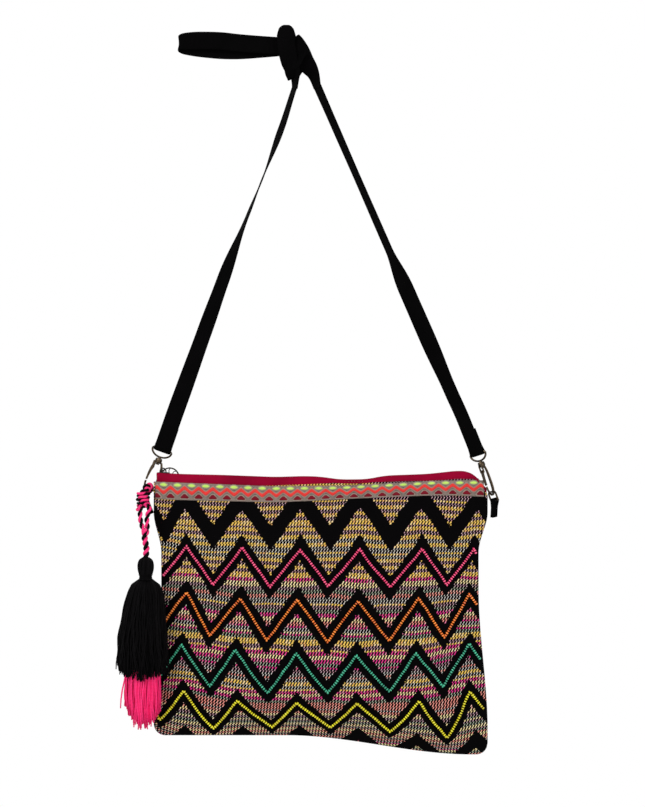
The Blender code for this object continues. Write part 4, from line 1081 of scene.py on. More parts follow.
@dataclass(frozen=True)
class GroundCloth:
    """Hand-woven cloth: coloured weft rows in slanted dashes, and black zigzag bands."""

    name: str
    chevrons: Chevrons | None
    row: float = 1.57
    dash: float = 2.60
    lean: float = 0.30
    snap: float = 0.45

    def rows(self) -> str:
        """The weft yarns down the cloth, one letter a row.

        Returns:
            The letters.
        """
        top = "P" + "MMPP" * 7 + "MMWW" * 3 + "MMPP" * 2 + "MM"
        low = "PGGLLLPNNNOOWWMMPPNNGGLLOOGWWLGNNMMPPMMGGLLGGNNGPWWOOWWMMWWMGGLNGGNNOONOWWOOLL"
        return top + low + "PONLPNOLWPNOLPONLPNOLWGGLLNNOOWWMM"

    def yarn(self, graph: Graph, row: Socket) -> tuple[Socket, Socket]:
        """Colour and cover of the yarn in each row.

        Args:
            graph: The material's graph.
            row: Number of the row.

        Returns:
            The colour, and the share of the row that it covers.
        """
        letters = self.rows()
        yarns = {yarn.name[0]: yarn.value for yarn in Yarn}
        place = graph.over(graph.plus(row, 0.5), float(len(letters)))
        changes = [index for index in range(len(letters))
                   if index == 0 or letters[index] != letters[index - 1]]
        stops = [(index / len(letters), yarns[letters[index]]) for index in changes]
        size = 31
        colour, cover = graph.ramp(place, stops[:size], steps=True).outputs
        for start in range(size, len(stops), size):
            later = graph.math("GREATER_THAN", place, stops[start][0])
            ramp = graph.ramp(place, stops[start:start + size], steps=True)
            colour = graph.mix(later, colour, ramp.outputs[0])
            more = graph.times(graph.minus(ramp.outputs[1], cover), later)
            cover = graph.plus(cover, more)
        return colour, cover

    def material(self) -> bpy.types.Material:
        """Build the material.

        Returns:
            The material.
        """
        made, graph, inputs = principled(self.name, 0.85, 0.0, 0.02)
        cloth = graph.cloth_map()
        wander = graph.times(graph.minus(graph.noise(cloth, 0.05, 2.0), 0.5), 1.6)
        across, down, _ = graph.split(cloth)
        line = graph.over(graph.plus(down, wander), self.row)
        row = graph.floor(line)
        within = graph.math("FRACT", line)
        pair = graph.floor(graph.times(line, 0.5))
        slant = graph.plus(graph.times(pair, 0.5), graph.times(line, self.lean))
        counted = graph.times(graph.split(graph.place())[0], 1000.0 / self.dash)
        turn = graph.plus(counted, slant)
        dash = graph.times(graph.math("PINGPONG", turn, 0.5), 2.0)
        colour, cover = self.yarn(graph, row)
        ends = graph.times(graph.size(graph.minus(within, 0.5)), 0.35)
        dark_share = graph.plus(graph.minus(1.0, cover), ends)
        shown = graph.spread(graph.minus(dash, dark_share), -0.10, 0.14)
        speck = graph.node("ShaderNodeTexWhiteNoise", noise_dimensions="2D")
        cell = graph.node("ShaderNodeCombineXYZ")
        graph.feed(cell.inputs[0], graph.floor(turn))
        graph.feed(cell.inputs[1], row)
        graph.feed(speck.inputs[0], cell.outputs[0])
        lively = graph.mix(graph.spread(speck.outputs[0], 0.35, 0.0, 0.0, 0.45), colour, (0.90, 0.80, 0.70))
        lively = graph.mix(graph.spread(speck.outputs[0], 0.78, 1.0, 0.0, 0.55), lively, (0.60, 0.20, 0.16))
        ground = graph.mix(shown, BLACK_YARN, lively)
        if self.chevrons:
            middle = graph.times(graph.plus(row, 0.5), self.row)
            ground = self.banded(graph, ground, across, turn, middle)
        graph.feed(inputs["Base Color"], ground)
        rounded = graph.sine(graph.times(within, math.pi))
        height = graph.times(rounded, graph.spread(dash, 0.0, 1.0, 0.5, 1.0))
        bumped(graph, inputs, height, 0.6, 0.0004)
        return made

    def banded(self, graph: Graph, ground: Socket, across: Socket, turn: Socket, middle: Socket) -> Socket:
        """Lay the black zigzag bands over the ground, stepped by dash and row.

        Args:
            graph: The material's graph.
            ground: Colour of the ground.
            across: Distance across in mm.
            turn: Count of dashes across.
            middle: Distance down of the row's middle in mm.

        Returns:
            The colour of both.
        """
        lines = self.chevrons
        step = graph.minus(graph.plus(graph.floor(turn), 0.5), turn)
        snapped = graph.plus(across, graph.times(step, self.snap * self.dash))
        turns = graph.over(graph.minus(snapped, lines.first_peak * 1000.0), lines.period * 1000.0)
        off = graph.size(graph.minus(turns, graph.nearest(turns)))
        wave = graph.minus(1.0, graph.times(off, 4.0))
        depth = graph.plus(middle, graph.times(wave, 500.0 * lines.amplitude))
        place = graph.over(graph.minus(depth, lines.first_depth * 1000.0), lines.spacing * 1000.0)
        nearest = graph.size(graph.minus(place, graph.nearest(place)))
        black = graph.math("LESS_THAN", nearest, 0.5 * lines.band / lines.spacing)
        above = graph.math("GREATER_THAN", place, -0.5)
        return graph.mix(graph.times(black, above), ground, BLACK_YARN)


@dataclass
class PouchCloth:
    """The front and back faces of the pouch and the lining inside."""

    pouch: Pouch
    drape: Drape
    chevrons: Chevrons
    columns: int = 220
    rows: int = 150
    flat_height: float = 0.2300

    def panel(self, name: str, side: float) -> bpy.types.Object:
        """One face of the pouch, as a sheet with its thickness.

        Args:
            name: The name of what is made.
            side: -1 for the front and 1 for the back.

        Returns:
            The sheet.
        """
        across = 0.5 - 0.5 * np.cos(math.pi * np.linspace(0.0, 1.0, self.columns + 1))
        across = mixed(np.linspace(0.0, 1.0, self.columns + 1), across, 0.35)
        down = 1.0 - (1.0 - np.linspace(0.0, 1.0, self.rows + 1)) ** 1.25
        share, drop = np.meshgrid(across, down)
        x, z = self.pouch.grid_point(share, drop)
        y = side * (self.pouch.half_depth(x, z) + self.pouch.puckers(share, z))
        flat = np.stack(self.drape.flat(x, z), -1)
        made = grid_object(name, np.stack([x, y, z], -1), flat, flip=side > 0.0)
        return thicken(made, self.pouch.thickness, -1.0)

    def build(self) -> None:
        """Make the pouch's pieces and dress them."""
        bands = [f"chevron_band_{band + 1}" for band in range(self.chevrons.count)]
        for end, side, lines, more in (("front", -1.0, self.chevrons, bands), ("back", 1.0, None, [])):
            cloth = self.panel(f"{end}_cloth", side)
            dress(cloth, GroundCloth(f"woven_{end}", lines).material(), "ground_cloth", f"{end}_panel", *more)
        self.dress_lining()
        LOG.info("pouch: front, back and lining")

    def dress_lining(self) -> None:
        """Make the lining pocket and dress it."""
        margin = 0.0090 / self.pouch.width
        across = mixed(margin, 1.0 - margin, np.linspace(0.0, 1.0, 61))
        share, drop = np.meshgrid(across, np.linspace(0.018, 0.925, 41))
        x, z = self.pouch.grid_point(share, drop)
        room = self.pouch.half_depth(x, z) - self.pouch.thickness - self.pouch.gap
        room = room * np.sin(math.pi * np.linspace(0.0, 1.0, 61)) ** 0.45
        front = np.stack([x, -room, z], -1)
        back = np.stack([x, room, z], -1)[:, ::-1]
        ring = np.concatenate([front, back[:, 1:-1]], 1)
        floor = ring[-1].copy()
        floor[:, 1] = 0.0
        ring = np.concatenate([ring, floor[None]], 0)
        around = np.broadcast_to(np.linspace(0.0, 0.54, ring.shape[1]), ring.shape[:2])
        flat = np.stack([around, ring[..., 2] + 0.6], -1)
        made = thicken(grid_object("lining", ring, flat, wrap=(False, True)), 0.0005, -1.0)
        twill = WovenFinish("lining_twill", (0.02, 0.018, 0.018), 0.5, 0.5).material()
        dress(made, twill, "lining", "lining_pouch")


# Zip, trim and beads


# Height of the tape's rolled edge above its mean level, along X, in mm.
TAPE_EDGE: Marks = ((-130.0, 2.2), (-109.0, 0.6), (-70.0, -0.3), (-26.0, -2.0), (1.0, -1.2), (14.0, -1.8),
                         (30.0, -4.2), (53.0, -4.0), (69.0, -0.8), (106.0, 0.6), (133.0, 3.6), (142.0, 2.6),
                         (149.0, -2.2), (155.5, -13.0), (158.0, -16.0))


@dataclass
class ZipClosure:
    """Crimson tapes, teeth, stops, slider and pull."""

    pouch: Pouch
    rise: float = 0.0056
    start: float = -0.1273
    end: float = 0.1560
    teeth: tuple[float, float] = (-0.1250, 0.1400)
    pitch: float = 0.0017

    def top_line(self, x: np.ndarray) -> np.ndarray:
        """Z of the tape's rolled top edge."""
        return self.pouch.top + self.rise + soft_line(x, TAPE_EDGE)

    def tape(self, name: str, side: float) -> bpy.types.Object:
        """One woven tape from the cloth's top edge over its rolled shoulder to the teeth.

        Args:
            name: The name of what is made.
            side: -1 for the front and 1 for the back.

        Returns:
            The tape.
        """
        x = np.linspace(self.start, self.end, 181)
        level = self.top_line(x)
        foot_z = np.minimum(self.pouch.top_edge(x) - 0.0010, level - 0.0030)
        foot = np.maximum(self.pouch.half_depth(x, self.pouch.top_edge(x)) - 0.0004, 0.0012)
        close = eased((x - 0.1400) / 0.0160)
        shoulder = mixed(0.0050, np.maximum(foot, 0.0014), close)
        inner = mixed(0.0040, 0.0008, close)
        rows = []
        for share in np.linspace(0.0, 1.0, 9):
            y = mixed(foot, shoulder, eased(share)) + 0.0005 * np.sin(math.pi * share)
            rows.append(np.stack([x, side * y, mixed(foot_z, level - 0.0010, share)], -1))
        for angle in np.linspace(0.25, 1.0, 4) * math.pi / 2.0:
            y = inner + (shoulder - inner) * np.cos(angle)
            rows.append(np.stack([x, side * y, level - 0.0010 + 0.0010 * np.sin(angle)], -1))
        low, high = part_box("zip_teeth_front")
        chain = np.minimum(0.5 * (low.z + high.z), level - 0.0013)
        reach = mixed(abs(low.y), 0.0008, close)
        rows.append(np.stack([x, side * mixed(reach, inner, 0.8), mixed(chain, level, 0.3)], -1))
        rows.append(np.stack([x, side * reach, chain], -1))
        grid = np.array(rows)
        flat = np.stack([np.broadcast_to(x - self.start, grid.shape[:2]),
                         np.broadcast_to(np.linspace(0.0, 0.016, len(rows))[:, None], grid.shape[:2])], -1)
        return thicken(grid_object(name, grid, flat, flip=side < 0.0), 0.0006, 0.0)

    def tooth_row(self, name: str, side: float) -> bpy.types.Object:
        """One row of cast teeth, each copied from one shaped tooth.

        Args:
            name: The name of what is made.
            side: -1 for the front and 1 for the back.

        Returns:
            The row.
        """
        deselect()
        bpy.ops.mesh.primitive_cube_add(size=1.0)
        tooth = bpy.context.active_object
        low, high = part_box("zip_teeth_front")
        tooth.scale = (0.0010, high.y - low.y, high.z - low.z)
        bpy.ops.object.transform_apply(location=False, rotation=False, scale=True)
        bpy.ops.object.mode_set(mode="EDIT")
        bpy.ops.mesh.select_all(action="SELECT")
        bpy.ops.mesh.bevel(offset=0.00028, segments=1)
        bpy.ops.object.mode_set(mode="OBJECT")
        shape = np.array([vertex.co for vertex in tooth.data.vertices])
        faces = [list(face.vertices) for face in tooth.data.polygons]
        vertices: list[list[float]] = []
        quads: list[list[int]] = []
        first, last = self.teeth
        count = int((last - first) / self.pitch)
        for index in range(count):
            x = first + (index + (0.5 if side > 0.0 else 0.0)) * self.pitch
            level = min(0.5 * (low.z + high.z), float(self.top_line(np.array(x))) - 0.0013)
            middle = np.array([x, -side * 0.5 * (low.y + high.y), level])
            base = len(vertices)
            vertices += (shape + middle).tolist()
            quads += [[base + corner for corner in face] for face in faces]
        data = bpy.data.meshes.new(name)
        data.from_pydata(vertices, [], quads)
        bpy.data.objects.remove(tooth, do_unlink=True)
        return placed(name, data)

    def build(self) -> None:
        """Make the zip's pieces and dress them."""
        crimson = WovenFinish("crimson_tape", (0.27, 0.001, 0.024), 0.8, 0.5, 0.75, 0.0001, 0.25, 0.04)
        crimson = crimson.material()
        metal = MetalFinish("zip_bronze", Metal.DARK_BRONZE, 0.7).material()
        cast = MetalFinish("zip_teeth", Metal.TEETH, 0.7).material()
        for end, side in (("front", -1.0), ("back", 1.0)):
            dress(self.tape(f"tape_{end}", side), crimson, "zip_tape", f"zip_tape_{end}")
            dress(self.tooth_row(f"teeth_{end}", side), cast, "zip_teeth", f"zip_teeth_{end}")
        for name in ("zip_slider", "zip_pull", "zip_stop_closed", "zip_stop_open"):
            redress(name, metal)
        LOG.info("zip: tapes, teeth, stops, slider and pull")


def redress(node: str, material: bpy.types.Material) -> None:
    """Give a node of the frame a new material.

    Args:
        node: The node's name.
        material: The material.
    """
    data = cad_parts[node].data
    data.materials.clear()
    data.materials.append(material)


# Heights of the ribbon's edges above the pouch's top, along X, in mm.
RIBBON_TOP: Marks = ((-129.0, 0.1), (-75.0, -2.0), (-30.0, -3.8), (30.0, -3.6), (66.0, -1.6), (110.0, 0.8),
                          (149.0, 1.4), (154.0, 1.0))
RIBBON_BOTTOM: Marks = ((-129.0, -15.0), (-75.0, -16.4), (-30.0, -17.6), (0.0, -16.6), (30.0, -15.0),
                             (66.0, -13.4), (108.0, -11.7), (131.0, -11.7), (154.0, -13.1))


@dataclass
class TrimBand:
    """Taupe ribbon with rows of stitched motifs."""

    pouch: Pouch
    lift: float = 0.0008
    stitch: float = 0.0011
    period: float = 0.01209
    first_peak: float = -0.1152
    ends: tuple[float, float] = (-0.1286, 0.1536)

    def spot(self, x: np.ndarray, share: np.ndarray, lift: np.ndarray | float) -> np.ndarray:
        """Points over the ribbon at X and at shares of its height, from its top edge down."""
        top, bottom = soft_line(x, RIBBON_TOP), soft_line(x, RIBBON_BOTTOM)
        return self.pouch.face(x, self.pouch.top + mixed(top, bottom, share), self.lift + lift)

    def motif(self, rows: Sequence[tuple[float, float]], centre: float, bulge: float,
              grow: float = 0.0) -> np.ndarray:
        """Grid of points of one padded motif.

        Args:
            rows: Share of the ribbon's height and half width of each row.
            centre: X of its middle.
            bulge: How far its middle stands out.
            grow: How much wider it is all round.

        Returns:
            Array of rows, columns and coordinates.
        """
        grid = []
        across = np.linspace(-1.0, 1.0, 9)
        middle = 0.5 * (rows[0][0] + rows[-1][0])
        low, high = self.ends[0] + 0.0002, self.ends[1] - 0.0002
        for index, (share, half) in enumerate(rows):
            raised = (math.sin(math.pi * index / (len(rows) - 1)) ** 0.6
                      * np.cos(0.5 * math.pi * across) ** 0.6)
            share = share + 70.0 * grow * np.sign(share - middle)
            x = np.linspace(max(low, centre - half - grow), min(high, centre + half + grow), 9)
            grid.append(self.spot(x, np.full(9, share), self.stitch + bulge * raised))
        return np.array(grid)

    def zigzag(self, half: float, bulge: float) -> np.ndarray:
        """Grid of points of the padded zigzag.

        Args:
            half: Half its height as a share of the ribbon's.
            bulge: How far its middle stands out.

        Returns:
            Array of rows, columns and coordinates.
        """
        x = np.linspace(self.ends[0] + 0.0004, self.ends[1] - 0.0004, 480)
        turns = (x - self.first_peak) / self.period
        off = np.abs(turns - np.round(turns))
        wave = np.cos(2.0 * math.pi * off) * 0.45 + (1.0 - 4.0 * off) * 0.55
        rows = []
        for place in np.linspace(-1.0, 1.0, 7):
            raised = max(0.0, math.cos(0.5 * math.pi * place)) ** 0.6
            rows.append(self.spot(x, 0.446 - 0.150 * wave + half * place, self.stitch + bulge * raised))
        return np.array(rows)

    def motifs(self, name: str, grids: list[np.ndarray], colour: Colour, slant: float) -> None:
        """Join one row of motifs, stitch them and put them on the bag.

        Args:
            name: The name of what is made.
            grids: The motifs' grids of points.
            colour: Colour of the thread.
            slant: Slant of the stitches.
        """
        parts = []
        for grid in grids:
            flat = np.stack([grid[..., 0] + 0.2, grid[..., 2] + 0.4], -1)
            parts.append(thicken(grid_object(name, grid, flat), self.stitch, -1.0))
        nodes = ["trim_zigzag"] if name == "stitched_zigzag" else []
        thread = StitchFinish(f"{name}_thread", colour, slant).material()
        dress(joined(name, parts), thread, "trim_thread", *nodes)

    def build(self) -> None:
        """Make the ribbon and its motifs."""
        low, high = self.ends
        x, share = np.meshgrid(np.linspace(low, high, 261), np.linspace(0.0, 1.0, 15))
        flat = np.stack([x - low, share * 0.0145], -1)
        ribbon = thicken(grid_object("trim_band", self.spot(x, share, 0.0), flat), 0.0008, -1.0)
        taupe = WovenFinish("taupe_ribbon", (0.30, 0.24, 0.205), 0.9, 0.7, 0.9, 0.0003, 0.5)
        dress(ribbon, taupe.material(), "trim", "trim_ribbon")
        peaks = [self.first_peak + index * self.period for index in range(-1, 24)]
        between = [peak - 0.5 * self.period for peak in peaks]
        lozenge = [(0.050, 0.0006), (0.100, 0.0024), (0.150, 0.0034), (0.200, 0.0026), (0.250, 0.0006)]
        heart = [(0.645, 0.0008), (0.710, 0.0018), (0.785, 0.0030), (0.855, 0.0037), (0.905, 0.0027)]
        diamonds = [centre for centre in between if low + 0.001 < centre < high - 0.001]
        hearts = [centre for centre in peaks if low + 0.001 < centre < high - 0.001]
        shade = [self.motif(rows, centre, -0.0003, 0.0005)
                 for rows, centres in ((lozenge, diamonds), (heart, hearts)) for centre in centres]
        self.motifs("motif_outlines", shade + [self.zigzag(0.165, -0.0003)], (0.36, 0.29, 0.24), 0.6)
        self.motifs("stitched_diamonds", [self.motif(lozenge, centre, 0.0007) for centre in diamonds],
                    (0.53, 0.84, 0.15), 0.2)
        self.motifs("stitched_hearts", [self.motif(heart, centre, 0.0007) for centre in hearts],
                    (0.17, 0.0, 0.010), 0.2)
        self.motifs("stitched_zigzag", [self.zigzag(0.115, 0.0008)], (0.80, 0.042, 0.036), 1.0)
        LOG.info("trim: ribbon, %d diamonds and %d hearts", len(diamonds), len(hearts))


@dataclass(frozen=True)
class StitchFinish:
    """Satin stitches laid side by side, with painted shade in the grooves between them."""

    name: str
    colour: Colour
    slant: float
    pitch: float = 0.75

    def material(self) -> bpy.types.Material:
        """Build the material.

        Returns:
            The material.
        """
        made, graph, inputs = principled(self.name, 0.6, 0.0, 0.15)
        along, down, _ = graph.split(graph.cloth_map())
        lean = graph.plus(along, graph.times(down, self.slant))
        thread = graph.size(graph.sine(graph.times(lean, math.pi / self.pitch)))
        mottle = graph.group("mottle", vector=graph.place(), scale=300.0, low=0.0, high=0.3)
        base = graph.mix(mottle.outputs[0], self.colour, tuple(min(1.0, 1.6 * c + 0.01) for c in self.colour))
        # Painted shade in the grooves between the stitches.
        dark = tuple(0.45 * c for c in self.colour)
        graph.feed(inputs["Base Color"], graph.mix(graph.spread(thread, 0.0, 0.5, 0.7, 0.0), base, dark))
        bumped(graph, inputs, thread, 0.7, 0.0003)
        return made


class BeadColour(Enum):
    """Bead colours as band, bright colour and deep colour."""

    PINK = (1, (1.00, 0.10, 0.26), (0.72, 0.02, 0.12))
    ORANGE = (2, (0.98, 0.26, 0.02), (0.62, 0.08, 0.006))
    GREEN = (3, (0.05, 0.48, 0.28), (0.012, 0.22, 0.13))
    YELLOW = (4, (0.86, 0.80, 0.01), (0.55, 0.46, 0.006))


@dataclass
class BeadRow:
    """One strung line of seed beads along a black band."""

    drape: Drape
    chevrons: Chevrons
    colour: BeadColour
    pitch: float = 0.00215
    radius: float = 0.00125
    hole: float = 0.00030
    length: float = 0.66
    margin: float = 0.0022
    floor: float = 0.0035

    def bead(self) -> tuple[np.ndarray, list[list[int]]]:
        """Points and faces of one bead, its hole along X.

        Returns:
            Its points and its faces.
        """
        deselect()
        reach = 0.5 * (self.radius + self.hole)
        bpy.ops.mesh.primitive_torus_add(major_radius=reach, minor_radius=0.5 * (self.radius - self.hole),
                                         major_segments=9, minor_segments=5)
        item = bpy.context.active_object
        shape = np.array([vertex.co for vertex in item.data.vertices])
        faces = [list(face.vertices) for face in item.data.polygons]
        bpy.data.objects.remove(item, do_unlink=True)
        long = self.length * self.pitch / (self.radius - self.hole)
        turned = np.stack([shape[:, 2] * long, shape[:, 0], shape[:, 1]], -1)
        return turned, faces

    def path(self) -> np.ndarray:
        """Centres of the beads.

        Returns:
            Array of centres.
        """
        band = self.colour.value[0]
        pouch = self.drape.pouch
        rng = np.random.default_rng(40 + band)
        along = np.linspace(-0.020, 0.300, 1800)
        wobble = np.interp(along, np.linspace(-0.020, 0.300, 76), rng.normal(0.0, 0.00035, 76))
        x, z = self.drape.laid(along, self.chevrons.bead_depth(band, along) + wobble)
        z = np.maximum(z, pouch.bottom_edge(x) + self.floor)
        inside = (x > pouch.left_edge(z) + self.margin) & (x < pouch.right_edge(z) - self.margin)
        line = pouch.face(x[inside], z[inside], self.radius * 0.85)
        travel = travelled(line)
        stops = np.arange(0.0, travel[-1], self.pitch)
        return np.stack([np.interp(stops, travel, line[:, axis]) for axis in range(3)], -1)

    def build(self) -> None:
        """Make the row and dress it."""
        shape, faces = self.bead()
        centres = self.path()
        rng = np.random.default_rng(7 + self.colour.value[0])
        along = unit(np.gradient(centres, axis=0) + rng.normal(0.0, 0.00012, centres.shape))
        out = np.zeros_like(along)
        out[:, 1] = -1.0
        side = unit(np.cross(along, out))
        face = np.cross(side, along)
        size = 1.0 + rng.normal(0.0, 0.045, len(centres))
        vertices = (centres[:, None] + size[:, None, None] * (
            along[:, None] * shape[None, :, :1] + side[:, None] * shape[None, :, 1:2]
            + face[:, None] * shape[None, :, 2:3])).reshape(-1, 3)
        count = len(shape)
        quads = [[index * count + corner for corner in quad]
                 for index in range(len(centres)) for quad in faces]
        name = f"beads_{self.colour.name.lower()}"
        mesh = bpy.data.meshes.new(name)
        mesh.from_pydata(vertices.tolist(), [], quads)
        set_tone(mesh, np.clip(rng.normal(0.62, 0.25, len(centres)), 0.0, 1.0), count)
        mesh.shade_smooth()
        glass = BeadFinish(f"{name}_glass", *self.colour.value[1:]).material()
        dress(placed(name, mesh), glass, name, f"bead_row_{self.colour.name.lower()}")
        LOG.info("%s: %d beads", name, len(centres))


# Strap and its hardware


@dataclass
class HookSide:
    """Where the hardware of one side hangs."""

    name: str
    ring: Vector
    ring_turned: Matrix
    turned: Matrix
    eye_turned: Matrix
    shift: float
    outward: float
    collar_rise: float = 0.0275 - 0.0024
    eye_rise: float = 0.0104
    bar_drop: float = 0.0080

    @classmethod
    def at_seam(cls, pouch: Pouch, name: str, out: float, drop: float, back: float, lean: float,
                turns: tuple[float, float, float], shift: float) -> "HookSide":
        """Place one side's hardware at its seam.

        Args:
            pouch: The pouch.
            name: "left" or "right".
            out: Distance of the ring outside the seam.
            drop: Distance of the ring below the cloth's top.
            back: Distance of the ring behind the middle plane.
            lean: Lean of the strap's pull in degrees.
            turns: Turn of the ring, the hook and the eye about the pull, in degrees.
            shift: Distance of the hook from the ring's middle.

        Returns:
            The side.
        """
        outward = -1.0 if name == "left" else 1.0
        z = pouch.top - drop
        edge = pouch.left_edge(np.array(z)) if name == "left" else pouch.right_edge(np.array(z))
        tilt = Matrix.Rotation(math.radians(lean), 3, "Y")
        ring, hook, eye = (tilt @ Matrix.Rotation(math.radians(turn), 3, "Z") for turn in turns)
        return cls(name, Vector((float(edge) + outward * out, back, z)), ring, hook, eye, shift, outward)

    @property
    def collar(self) -> Vector:
        """Centre of the hook's collar."""
        return self.ring + self.ring_turned @ Vector((0.0, self.shift, self.collar_rise))

    @property
    def bar(self) -> Vector:
        """Middle of the eye's bar that carries the strap."""
        return self.collar + self.eye_turned @ Vector((0.0, 0.0, self.eye_rise))

    @property
    def foot(self) -> Vector:
        """Middle of the ring's bar that the tab holds."""
        return self.ring + self.ring_turned @ Vector((0.0, 0.0, -self.bar_drop))


@dataclass
class Webbing:
    """Flat webbing swept along paths."""

    width: float = 0.0150
    thickness: float = 0.0013
    wire: float = 0.0009
    gap: float = 0.0003

    def fold(self, bar: np.ndarray, up: np.ndarray, across: np.ndarray, lengths: tuple[float, float],
             count: int) -> np.ndarray:
        """Path of the webbing's fold round a bar, from its cut end.

        Args:
            bar: Middle of the bar.
            up: Direction away from the bar.
            across: The webbing's width direction.
            lengths: Length of each of its two ends.
            count: Number of points of an end.

        Returns:
            Array of points.
        """
        face = unit(np.cross(up, across))
        spread = (self.thickness + self.gap) / 2.0
        bend = self.wire + self.gap + self.thickness / 2.0
        path = [bar + up * place + face * spread for place in np.linspace(lengths[0], bend * 3.0, count)]
        for angle in np.radians(np.linspace(-15.0, -165.0, 15)):
            path.append(bar + face * bend * math.cos(angle) + up * bend * math.sin(angle))
        path += [bar + up * place - face * spread for place in np.linspace(bend * 3.0, lengths[1], count)]
        return np.array(path)

    def sweep(self, name: str, path: np.ndarray, across: np.ndarray,
              flare: np.ndarray | None = None) -> bpy.types.Object:
        """Sweep the webbing along a path.

        Args:
            name: The object's name.
            path: Points of its centre line.
            across: Its width direction at each point.
            flare: Share of its width at each point.

        Returns:
            The new object.
        """
        along = unit(np.gradient(path, axis=0))
        side = unit(across - along * np.sum(across * along, 1, keepdims=True))
        face = np.cross(along, side)
        half = 0.5 * self.width
        thin = 0.5 * self.thickness
        outline = []
        for place in np.linspace(-1.0, 1.0, 13):
            outline.append((place * half, thin * (1.0 - 0.75 * abs(place) ** 10), place))
        for place in np.linspace(1.0, -1.0, 13):
            outline.append((place * half, -thin * (1.0 - 0.75 * abs(place) ** 10), 4.0 - place))
        travel = travelled(path)
        scale = np.ones(len(path)) if flare is None else flare
        columns = []
        flats = []
        for out, up, mark in outline:
            columns.append(path + side * (out * scale)[:, None] + face * up)
            flats.append(np.stack([travel, np.full(len(path), mark * half)], -1))
        grid = np.stack(columns, 1)
        made = grid_object(name, grid, np.stack(flats, 1), wrap=(False, True))
        mesh = bmesh.new()
        mesh.from_mesh(made.data)
        mesh.verts.ensure_lookup_table()
        count = len(outline)
        last = (len(path) - 1) * count
        mesh.faces.new([mesh.verts[index] for index in range(count)])
        mesh.faces.new([mesh.verts[index] for index in range(last + count - 1, last - 1, -1)])
        bmesh.ops.recalc_face_normals(mesh, faces=mesh.faces)
        mesh.to_mesh(made.data)
        mesh.free()
        return made


class Twist(Enum):
    """Turn of each leg of the strap away from facing front: share of its length and degrees."""

    LEFT = ((0.28, -28.0), (0.42, -40.0), (0.62, -78.0), (0.72, -88.0), (0.86, -66.0), (1.0, -71.0))
    RIGHT = ((0.12, -44.0), (0.26, -24.0), (0.40, -28.0), (0.52, -68.0), (0.74, -70.0), (0.90, -68.0),
             (1.0, -66.0))


